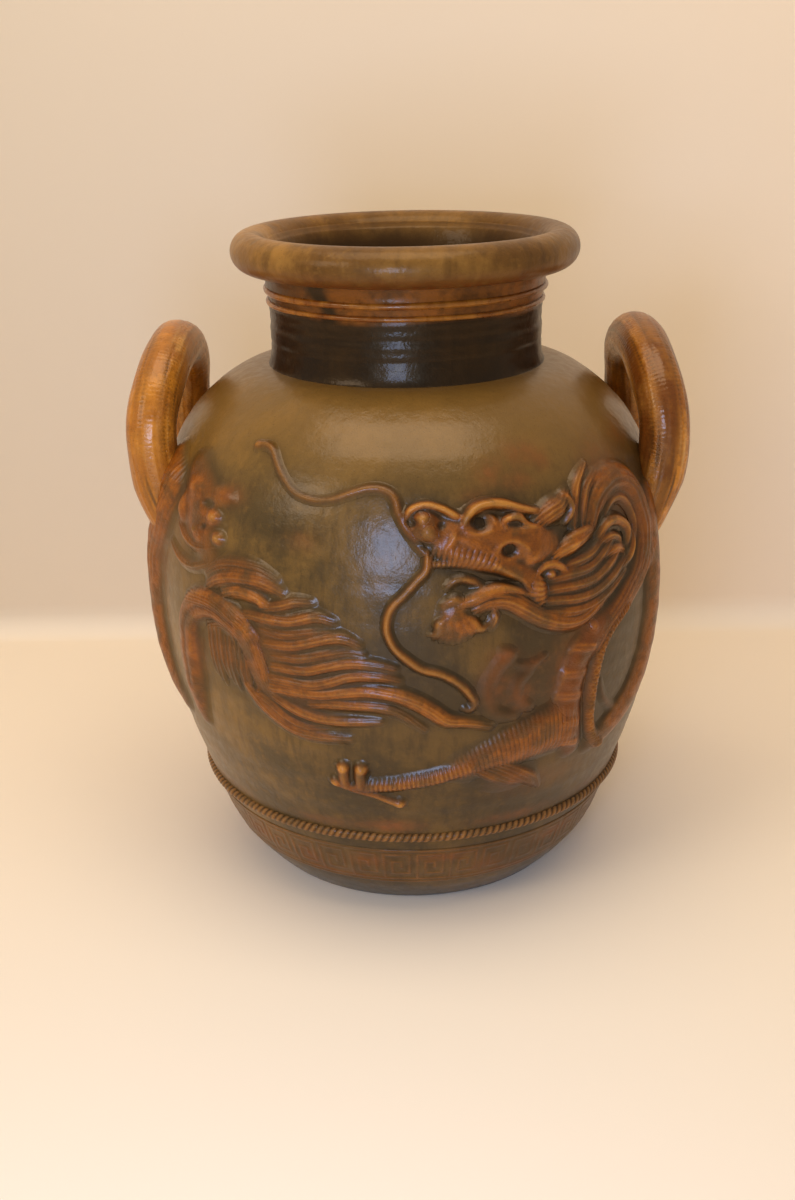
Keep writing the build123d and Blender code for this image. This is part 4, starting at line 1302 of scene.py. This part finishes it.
BLUSHES: Table = [
    (17, 205, 9, 15, .5), (23, 192, 8, 12, .5), (19, 222, 7, 5, .6), (26, 214, 7, 5, .4),
    (18, 335, 9, 8, .5), (27, 346, 14, 8, .5), (25, 328, 10, 6, .4), (32, 338, 6, 6, .4), (14, 322, 8, 5, .3),
    (-22, 92, 22, 4, .4), (-5, 93, 17, 5, .9), (25, 92, 26, 4, .5), (55, 92, 30, 4, .3), (-60, 92, 30, 4, .3),
    (-22.7, 294, 9, 6, .3), (-42, 314, 9, 6, .6), (-58, 290, 12, 20, .5), (-52, 203, 8, 14, .5), (40, 228, 8, 8, .8),
    (35, 192, 13, 30, .8), (59, 283, 10, 12, .6), (54, 300, 12, 10, .4), (-12, 58, 12, 5, .6), (-30, 50, 8, 8, .5),
    (8, 62, 18, 4, .6), (20, 48, 14, 8, .4), (-50, 55, 20, 8, .5), (42, 60, 20, 5, .5), (70, 48, 20, 10, .4),
    (-72, 270, 12, 40, .5), (72, 240, 10, 50, .5), (30, 120, 30, 10, .25), (50, 330, 20, 14, .4),
    (64, 340, 16, 10, .4), (-75, 62, 18, 5, .5), (-20, 40, 30, 3, .4), (30, 38, 30, 3, .4),
]


def blush(angle: np.ndarray, height: np.ndarray) -> np.ndarray:
    """How red the iron broke through the glaze at places of the wall, from 0 to 1.

    Every blush is a soft spot with a middle, a spread round the jar and up it in mm, and a strength. The
    other half of the jar has the same spots.

    Args:
        angle: Degrees round the jar.
        height: Millimetres up the outline.

    Returns:
        The spots' sum at every place.
    """
    mm_per_degree = 2.8
    half = (np.asarray(angle) + 90) % 180 - 90
    total = np.zeros(np.broadcast(half, height).shape)
    for middle, level, wide, tall, strength in BLUSHES:
        away = ((half - middle) * mm_per_degree / wide) ** 2 + ((height - level) / tall) ** 2
        total += strength * np.exp(-away)
    return np.clip(total, 0, 1)


def lay_dragon(relief: Relief) -> None:
    """Lays the front's clay, group by group.

    Args:
        relief: The relief that it is laid on.
    """
    for group, pieces in CLAY.items():
        relief.groups.append(group)
        for piece in pieces:
            if isinstance(piece, Strip):
                relief.lay(piece)
            else:
                relief.press(piece)
    relief.finish()


class Jar:
    """A two-handled storage jar with a dragon round each half of its shoulder."""

    def __init__(self) -> None:
        """Sets out the wall and the clay that is laid on it."""
        self.wall = Wall()
        self.shell = ShellSizes()
        self.neck = NeckSizes()
        self.loop = LoopSizes()
        self.bands = BandSizes()
        self.glazes = {glaze.slot: glaze.material() for glaze in (OLIVE, FOOT, RELIEF, AMBER, DARK, RIM)}
        self.relief = Relief(self.wall, (-93.0, 98.0), (80.0, 357.0), 0.6)
        lay_dragon(self.relief)

    def build(self) -> None:
        """Makes every piece of the jar."""
        self.make_wall()
        self.make_neck()
        self.make_rim()
        self.make_rings()
        self.make_rope()
        self.make_fret()
        for side in (1, -1):
            self.make_handle(side)
        self.make_dragons()

    def add(self, mesh: Mesh, name: str, slot: str, *nodes: str) -> None:
        """Adds a piece with the glaze of its slot, in place of some solids."""
        mesh.make(name, slot, self.glazes[slot], *nodes)

    def make_wall(self) -> None:
        """The thrown wall with its floor: the outer side up, over the neck's seat and down the inner side.

        The profile is the wall's outline, and then the same outline moved inwards by the thickness, and it
        is turned round the axis. A row of it has a radius, a level, a share of the ripples and a place up
        the outline.
        """
        wall, s = self.wall, self.shell
        outer = np.arange(s.start, wall.length, s.outer_step)
        radius, level, _, _ = wall.section(outer)
        rows = [(r, 0.0, 0.0, 0.0) for r in s.base_rings] + [(*s.base_edge, 0.0, 0.5)]
        rows += [(r, z, 1.0, place) for r, z, place in zip(radius, level, outer)]
        rows += [(r, wall.neck_foot_height, 0.0, s.neck_place) for r in s.seat_rings]
        down = np.arange(wall.length - s.inner_drop, 0, -s.inner_step)
        radius, level, out_radial, out_up = wall.section(down)
        inner = [(r - s.thickness * a, z - s.thickness * b, -0.6, place)
                 for r, z, a, b, place in zip(radius, level, out_radial, out_up, down)]
        rows += [row for row in inner if row[1] > s.floor + 2 and row[0] > self.neck.bore + 3]
        rows += [(r, s.floor, 0.0, 0.0) for r in s.floor_rings]
        profile = np.array(rows)
        mesh = turned_mesh(profile, s.columns, False)
        share, height = profile[1:-1, 2], profile[1:-1, 3]
        angle, height = np.meshgrid(np.arange(s.columns) * 360 / s.columns, height)
        outside = (share > 0)[:, None]
        # Painted shade: the wall is painted darker round both dragons' clay, partly as glaze pooled against it.
        near = np.maximum(*(self.relief.nearby((angle - turn + 180) % 360 - 180, height) for turn in (0, 180)))
        mesh.values = in_rows((0, 0), near=near * outside, blush=blush(angle, height) * outside)
        # The inner side is painted darker, as painted shade inside the jar.
        mesh.values["inner"] = np.append(np.repeat(share < 0, s.columns), (0, 1))
        nodes = ("floor_disc", "foot_wall", "belly_wall", "shoulder_wall", "upper_shoulder")
        self.add(mesh, "jar_wall", "olive_glaze", *nodes)

    def make_neck(self) -> None:
        """The straight neck, with its small flare below and its amber zone under the roll.

        The profile is a quarter of an ellipse up to the straight side, then a line with two small sine
        waves, and it is turned round the axis. The glaze thins to amber above a level that waves round the
        neck, apart from one place where a drip ran down, and the amber is painted fainter on the neck's
        left and right sides, as painted shade.
        """
        n = self.neck
        swing = np.linspace(0, math.pi / 2, n.flare_rows)
        flare = [(n.foot_radius - (n.foot_radius - n.radius) * math.sin(t),
                  n.foot_level + (n.flare_top - n.foot_level) * (1 - math.cos(t))) for t in swing]
        side = [(n.outside(z) + 0.22 * math.sin(z / 2.3) + 0.15 * math.sin(z / 1.1), z)
                for z in np.arange(n.flare_top + n.row_step, n.top, n.row_step)]
        rows = np.array([(r, z, 0.0, 0.0) for r, z in [*flare, *side, *n.seat]])
        neck = turned_mesh(rows, n.columns, True)
        level = rows[:, 1:2]
        angle = np.arange(n.columns)[None, :] * 360 / n.columns
        turn = np.radians(angle)
        # Painted shade: the sin squared term makes the amber fainter at the neck's left and right sides, so they read
        # darker.
        drips_and_side_shade = 0.7 + 0.25 * np.sin(7 * turn + 1.7 * np.sin(3 * turn)) - 0.35 * np.sin(turn) ** 2
        drips_and_side_shade = drips_and_side_shade - 0.9 * np.exp(-(((angle - n.drip_angle + 3 * np.sin(level / 5)) / 5) ** 2))
        edge = np.clip((level - n.amber_from - 1.2 * np.sin(5 * turn)) / 4, 0, 1)
        neck.values = in_rows(blush=1.5 * edge * np.clip(drips_and_side_shade, 0, 1))
        self.add(neck, "neck_glazed", "dark_glaze", "neck_collar")

    def make_rim(self) -> None:
        """The rolled rim, with the neck's bore below it in one skin.

        The profile is most of a circle, the throat's rows and the bore's line with two small sine waves,
        and it is turned round the axis. The roll's underside is painted darker and redder, as painted shade
        under the roll, and the inside is painted darker into the throat, as painted shade.
        """
        n = self.neck
        turns = np.radians(np.linspace(*n.roll_ends, n.roll_rows))
        roll = [(n.roll_middle + n.roll_radius * math.cos(t), n.roll_level + n.roll_radius * math.sin(t))
                for t in turns]
        bore = [(n.bore + 0.25 * math.sin(z / 3.1) + 0.12 * math.sin(z / 1.3), z)
                for z in np.arange(*n.bore_levels)]
        rows = [(r, z, n.ripple_share, n.ripple_place) for r, z in [*roll, *n.throat, *bore, *n.back]]
        rim = turned_mesh(np.array(rows), n.columns, True)
        shade = [0.0] * len(roll) + [*n.throat_shade] + [1.0] * (len(bore) + len(n.back))
        # Painted shade: the roll's underside is painted darker and redder.
        low = np.clip(-np.sin(turns) - 0.1, 0, 1) * (np.cos(turns) > -0.9)
        low = np.append(low, np.zeros(len(rows) - len(roll)))
        rim.values = {"inner": np.repeat(shade, n.columns), "blush": np.repeat(low, n.columns)}
        self.add(rim, "rolled_rim_glazed", "rim_glaze", "rolled_rim")

    def make_rings(self) -> None:
        """The two thin hoops under the rim, laid on by hand and so a little uneven.

        Each is a circle carried round the axis, with its radius and its level waving as sines of the turn.
        """
        n = self.neck
        turn = np.arange(n.ring_columns) * 2 * math.pi / n.ring_columns
        round_ = np.arange(n.ring_sides)[:, None] * 2 * math.pi / n.ring_sides
        for name, (level, size), phase in (
            ("upper_neck_ring", n.upper_ring, 0.4), ("lower_neck_ring", n.lower_ring, 2.2),
        ):
            size = size * (0.94 + 0.06 * np.sin(5 * turn + phase))
            middle = level + 0.25 * np.sin(2 * turn + phase) + 0.12 * np.sin(7 * turn)
            grid = about_axis(n.outside(level) + size * np.cos(round_), turn, middle + size * np.sin(round_))
            hoop = Mesh(grid.reshape(-1, 3), [tube_faces(n.ring_sides, n.ring_columns, True)])
            self.add(hoop, name + "_glazed", "amber_glaze", name)

    def make_rope(self) -> None:
        """The rope of clay: a hoop with slanting strands pressed into it with a cord.

        A circle is carried round the wall. Its radius swells with the cosine of the strands' twist, which
        goes round the jar and round the circle at once.
        """
        b = self.bands
        turn = np.arange(b.rope_columns)[None, :] * 2 * math.pi / b.rope_columns
        round_ = np.arange(b.rope_sides)[:, None] * 2 * math.pi / b.rope_sides
        twist = b.strands * turn - 2 * round_
        strand = np.abs(np.cos(twist / 2 + 0.35 * np.sin(3 * turn))) ** 0.8
        size = b.rope_radius * (0.74 + 0.18 * strand) * (0.97 + 0.03 * np.sin(11 * turn))
        radius, level, _, _ = self.wall.section(np.array([self.wall.height_at(b.rope_level)]))
        up = level[0] + size * np.sin(round_) + 0.5 * np.sin(3 * turn + 1)
        grid = about_axis(radius[0] + size * np.cos(round_), turn, up)
        rope = Mesh(grid.reshape(-1, 3), [tube_faces(b.rope_sides, b.rope_columns, True)],
                    # The strands' crest gives them a painted highlight and paints the gaps between them dark, as
                    # painted shade.
                    in_rows(lift=np.full_like(up, 2.9), crest=2.2 * (strand - 0.6), tone=0.35 + 0.3 * strand))
        self.add(rope, "rope_band_glazed", "foot_glaze", "rope_band")

    def fret(self, across: np.ndarray, up: np.ndarray) -> np.ndarray:
        """How raised the key fret is: a soft step of the distance to the nearest of the fret's lines.

        Args:
            across: Places across one cell of the fret, from 0 to 1.
            up: Places up the band, from 0 to 1.

        Returns:
            One on the fret's lines and nought between them.
        """
        b = self.bands
        key = [(0.10, 0.20), (0.10, 0.86), (0.86, 0.86), (0.86, 0.34), (0.34, 0.34), (0.34, 0.66), (0.62, 0.66),
               (0.62, 0.52)]
        lines = [*zip(key[:-1], key[1:]), *(((0, y), (1, y)) for y in (0.06, 0.16, 0.96))]
        gaps = []
        for (x0, y0), (x1, y1) in lines:
            east, north = (x1 - x0) * b.cell_width, (y1 - y0) * b.cell_height
            right, over = (across - x0) * b.cell_width, (up - y0) * b.cell_height
            along = np.clip((right * east + over * north) / (east ** 2 + north ** 2), 0, 1)
            gaps.append(np.hypot(right - along * east, over - along * north))
        return 1 / (1 + np.exp((np.min(gaps, axis=0) - b.fret_line) / b.fret_slope))

    def make_fret(self) -> None:
        """The raised band with its worn key fret, as a closed hoop on the wall.

        Its outer side stands over the wall by a thin edge and the fret's lines, worn by slow sine waves.
        Its back runs down again inside the wall.
        """
        b = self.bands
        outer = np.arange(b.fret_bottom, b.fret_top, b.fret_step)
        heights = np.concatenate([outer, [b.fret_top - 0.5, *b.fret_back, b.fret_bottom + 0.5]])
        angle, height = np.meshgrid(np.arange(b.fret_columns) * 360 / b.fret_columns, heights)
        turn = np.radians(angle)
        up = (height - b.fret_bottom) / (b.fret_top - b.fret_bottom)
        worn = 0.6 + 0.3 * np.sin(3 * turn + 0.8) * np.cos(5 * turn)
        worn += 0.15 * np.sin(17 * turn + height / 5) * np.cos(29 * turn)
        raised = self.fret(np.mod(angle / 360 * b.fret_cells, 1), up) * worn
        edge = np.clip(np.minimum(up, 1 - up) / 0.05, 0, 1)
        lift = (0.1 + 0.35 * edge) + b.fret_rise * 0.6 * raised * edge
        lift[len(outer):] = -b.fret_depth
        band = Mesh(self.wall.points(angle, height, lift).reshape(-1, 3),
                    [tube_faces(len(heights), b.fret_columns, True)],
                    # The fret's crest gives its lines a painted highlight and paints the ground between them darker,
                    # as painted shade.
                    in_rows(lift=0.8 + 2.4 * raised, crest=1.1 * (raised - 0.35), tone=0.5 * raised + 0.2,
                            blush=blush(angle, height)))
        self.add(band, "fret_band_glazed", "foot_glaze", "fret_band")

    def make_handle(self, side: int) -> None:
        """A thick coil of clay, combed across, that rises from the shoulder and comes down beside itself.

        The path is two straight legs and half an ellipse between them, bowed outwards by a sine of the
        height and tucked in at the feet. A circle is carried along it, thinner at the feet, with sine
        waves for the comb's marks and the hand's dents.

        Args:
            side: 1 for the right handle and -1 for the left one.
        """
        h = self.loop
        half, arch = h.stance / 2, h.top - h.spring
        legs = np.linspace(h.foot, h.spring, h.leg_rows, endpoint=False)
        swing = np.linspace(0, math.pi, h.rows - 2 * len(legs))
        across = np.concatenate([np.full(len(legs), -half), -half * np.cos(swing), np.full(len(legs), half)])
        level = np.concatenate([legs, h.spring + arch * np.sin(swing), legs[::-1]])
        rise = (level - h.foot) / (h.top - h.foot)
        stand = h.offset + h.bow * np.sin(math.pi * rise) - h.tuck * (1 - rise) ** 3
        turn = math.radians(side * h.angle)
        outer = np.array([math.sin(turn), -math.cos(turn), 0])
        along = np.array([math.cos(turn), math.sin(turn), 0])
        line = stand[:, None] * outer + across[:, None] * along + level[:, None] * np.array([0, 0, 1])
        ahead = np.gradient(line, axis=0)
        ahead /= np.linalg.norm(ahead, axis=1, keepdims=True)
        first = outer - (ahead @ outer)[:, None] * ahead
        first /= np.linalg.norm(first, axis=1, keepdims=True)
        second = np.cross(ahead, first)
        run = np.concatenate([[0], np.cumsum(np.linalg.norm(np.diff(line, axis=0), axis=1))])[:, None]
        round_ = np.arange(h.columns)[None, :] * 2 * math.pi / h.columns
        size = h.radius * np.minimum(1, h.foot_share + (1 - h.foot_share) * rise / h.full_share)[:, None]
        top = np.clip((rise[:, None] - 0.35) / 0.3, 0, 1)
        across_marks = np.sin(2 * math.pi * run / h.comb_pitch + 1.3 * np.sin(round_ * 2) + 0.8 * np.sin(run / 11))
        long_marks = np.sin(19 * round_ + 1.6 * np.sin(run / 23)) * 0.6 + 0.4 * np.sin(31 * round_ + run / 17)
        marks = h.comb_depth * (0.3 * across_marks * top + long_marks * (1 - 0.3 * top))
        dents = 0.5 * np.sin(run / 13 + 2 * np.cos(round_)) + 0.35 * np.sin(run / 7.3 + 3 * round_)
        size = size - h.drawn_in + marks * 0.6 + 0.5 * dents
        grid = line[:, None] + size[..., None] * (
            np.cos(round_)[..., None] * first[:, None] + np.sin(round_)[..., None] * second[:, None]
        )
        points = np.vstack([grid.reshape(-1, 3), line[:1], line[-1:]]) * MM
        streak = np.sin(3 * round_ + 0.7 * np.sin(run / 37)) * np.sin(2 * round_ + run / 90)
        faces = [tube_faces(h.rows, h.columns), *end_fans(h.rows * h.columns, h.columns)]
        mesh = Mesh(points, faces, in_rows(
            # The comb marks' crest gives painted highlights on ridges and painted shade in the grooves.
            (0, 0), lift=2.6 + 2.6 * streak, crest=1.6 * marks + 0.5 * dents + 0.6 * streak,
            tone=0.5 + 0.6 * streak + 0.2 * np.sin(run / 29 + round_),
        ))
        name = "handle_right" if side > 0 else "handle_left"
        self.add(mesh, name + "_glazed", "amber_glaze", name)

    def make_dragons(self) -> None:
        """Both dragons: the clay laid at the front, and the same turned half round the jar."""
        hind = ("tail_plume", "hind_leg", "leg_hair", "haunch")
        first, second = "first_dragon_", "second_dragon_"
        for turn, fore, rear in ((0.0, first, second), (180.0, second, first)):
            for part in self.relief.groups:
                node = (rear if part in hind else fore) + part
                slot = "dark_glaze" if part == "eyes" else "relief_glaze"
                self.add(self.relief.mesh(part, turn), node + "_glazed", slot, node)


@dataclass
class Studio:
    """The photograph's room: a pale sweep, soft light from above and a small flash by the camera."""

    floor_colour: str = "#fbead0"
    # Painted shade: the backdrop is painted darker than the floor, and darker on the left than on the right.
    left_shaded_colour: str = "#dccbb2"
    right_lit_colour: str = "#f7e3c8"
    front: float = -1.6
    fold: float = 0.386
    bend: float = 0.03
    top: float = 1.5
    half_width: float = 2.4
    lens: float = 42.0
    camera_place: tuple[float, float, float] = (0.0, -0.9524, 0.5517)
    pitch: float = 21.341
    yaw: float = -0.557
    roll: float = -1.062

    def build(self) -> None:
        """Makes the sweep, the lights, the background and the camera."""
        self.make_sweep()
        self.make_lights()
        self.make_camera()

    def make_sweep(self) -> None:
        """The paper floor that bends up into the backdrop behind the jar.

        Real: matt seamless paper. To the eye: a pale sheet, with painted shade: the backdrop is darker than
        the floor, and darker on the left than on the right. Its back side is clear, so that the jar is seen
        from behind the backdrop as well. Its side view is a line, a quarter circle and a line up.
        """
        flat = [(self.front, 0.0), (0.0, 0.0), (self.fold - self.bend, 0.0)]
        arc = [(self.fold - self.bend + self.bend * math.sin(t), self.bend - self.bend * math.cos(t))
               for t in np.linspace(0.1, math.pi / 2, 14)]
        line = np.array(flat + arc + [(self.fold, self.top)])
        sides = np.array([-self.half_width, self.half_width])
        points = [(x, y, z) for y, z in line for x in sides]
        faces = [(2 * i, 2 * i + 1, 2 * i + 3, 2 * i + 2) for i in range(len(line) - 1)]
        data = bpy.data.meshes.new("sweep")
        data.from_pydata(points, [], faces)
        for polygon in data.polygons:
            polygon.use_smooth = True
        paper = bpy.data.materials.new("paper")
        paper.use_nodes = True
        tree = paper.node_tree
        tree.nodes.clear()
        at = add_node(tree, "ShaderNodeTexCoord").outputs["Object"]
        axes = add_node(tree, "ShaderNodeSeparateXYZ", {"Vector": at}).outputs
        # Painted shade: above the floor the paper takes the darker backdrop tints, darkest on the left.
        height = add_node(tree, "ShaderNodeMapRange", {"Value": axes["Z"], 1: 0.0, 2: 0.02}).outputs[0]
        side = add_node(tree, "ShaderNodeMapRange", {"Value": axes["X"], 1: -0.45, 2: 0.45}).outputs[0]
        wall = add_node(tree, "ShaderNodeMix", {
            0: side, 6: linear_colour(self.left_shaded_colour), 7: linear_colour(self.right_lit_colour),
        }, data_type="RGBA")
        tint = add_node(tree, "ShaderNodeMix", {
            0: height, 6: linear_colour(self.floor_colour), 7: wall.outputs[2],
        }, data_type="RGBA")
        matt = add_node(tree, "ShaderNodeBsdfDiffuse", {"Color": tint.outputs[2]})
        clear = add_node(tree, "ShaderNodeBsdfTransparent")
        behind = add_node(tree, "ShaderNodeNewGeometry").outputs["Backfacing"]
        sheet = add_node(tree, "ShaderNodeMixShader", {0: behind, 1: matt.outputs[0], 2: clear.outputs[0]})
        add_node(tree, "ShaderNodeOutputMaterial", {"Surface": sheet.outputs[0]})
        data.materials.append(paper)
        sweep = bpy.data.objects.new("sweep", data)
        bpy.context.scene.collection.objects.link(sweep)

    def make_lights(self) -> None:
        """A wide warm softbox overhead, a small cool flash at the camera, and a warm soft background."""
        self.area("overhead_softbox", (-0.05, -0.30, 1.45), (0.0, -0.05, 0.25), (1.2, 0.8), 9.4, "#fff3e2")
        self.area("left_fill", (-1.9, -1.6, 1.5), (0.0, 0.0, 0.25), (1.0, 1.0), 15.0, "#fff4e4")
        self.area("flash", (-0.14, -1.0, 0.37), (0.0, 0.0, 0.26), (0.27, 0.33), 5.0, "#a4c4ff")
        world = bpy.data.worlds.new("background")
        world.use_nodes = True
        tree = world.node_tree
        tree.nodes.clear()
        glow = add_node(tree, "ShaderNodeBackground", {"Color": linear_colour("#fff4e6"), "Strength": 0.42})
        add_node(tree, "ShaderNodeOutputWorld", {"Surface": glow.outputs[0]})
        bpy.context.scene.world = world

    @staticmethod
    def area(name: str, place: Row, target: Row, size: Row, power: float, colour: str) -> None:
        """Adds a rectangular light that faces a target.

        Args:
            name: The light's name.
            place: Where it hangs.
            target: What it faces.
            size: Its width and height.
            power: Its watts.
            colour: Its colour as a hex code.
        """
        data = bpy.data.lights.new(name, "AREA")
        data.shape = "RECTANGLE"
        data.size, data.size_y = size
        data.energy = power
        data.color = linear_colour(colour)[:3]
        lamp = bpy.data.objects.new(name, data)
        start = Vector(place)
        turn = (Vector(target) - start).to_track_quat("-Z", "Y")
        lamp.matrix_world = Matrix.Translation(start) @ turn.to_matrix().to_4x4()
        bpy.context.scene.collection.objects.link(lamp)

    def make_camera(self) -> None:
        """The camera at the photograph's place, with its small lean."""
        pitch, yaw, roll = (math.radians(v) for v in (self.pitch, self.yaw, self.roll))
        ahead = Vector((math.sin(yaw) * math.cos(pitch), math.cos(yaw) * math.cos(pitch), -math.sin(pitch)))
        level = Vector((math.cos(yaw), -math.sin(yaw), 0.0))
        above = level.cross(ahead)
        right = math.cos(roll) * level + math.sin(roll) * above
        up = -math.sin(roll) * level + math.cos(roll) * above
        data = bpy.data.cameras.new("camera")
        data.lens = self.lens
        camera = bpy.data.objects.new("camera", data)
        turn = Matrix((right, up, -ahead)).transposed().to_4x4()
        camera.matrix_world = Matrix.Translation(Vector(self.camera_place)) @ turn
        bpy.context.scene.collection.objects.link(camera)
        bpy.context.scene.camera = camera


def main() -> None:
    """Builds the jar, then the room round it."""
    logging.basicConfig(level=logging.INFO)
    scene = bpy.context.scene
    scene.view_settings.view_transform = "Standard"
    Jar().build()
    Studio().build()


if __name__ == "__main__":
    main()
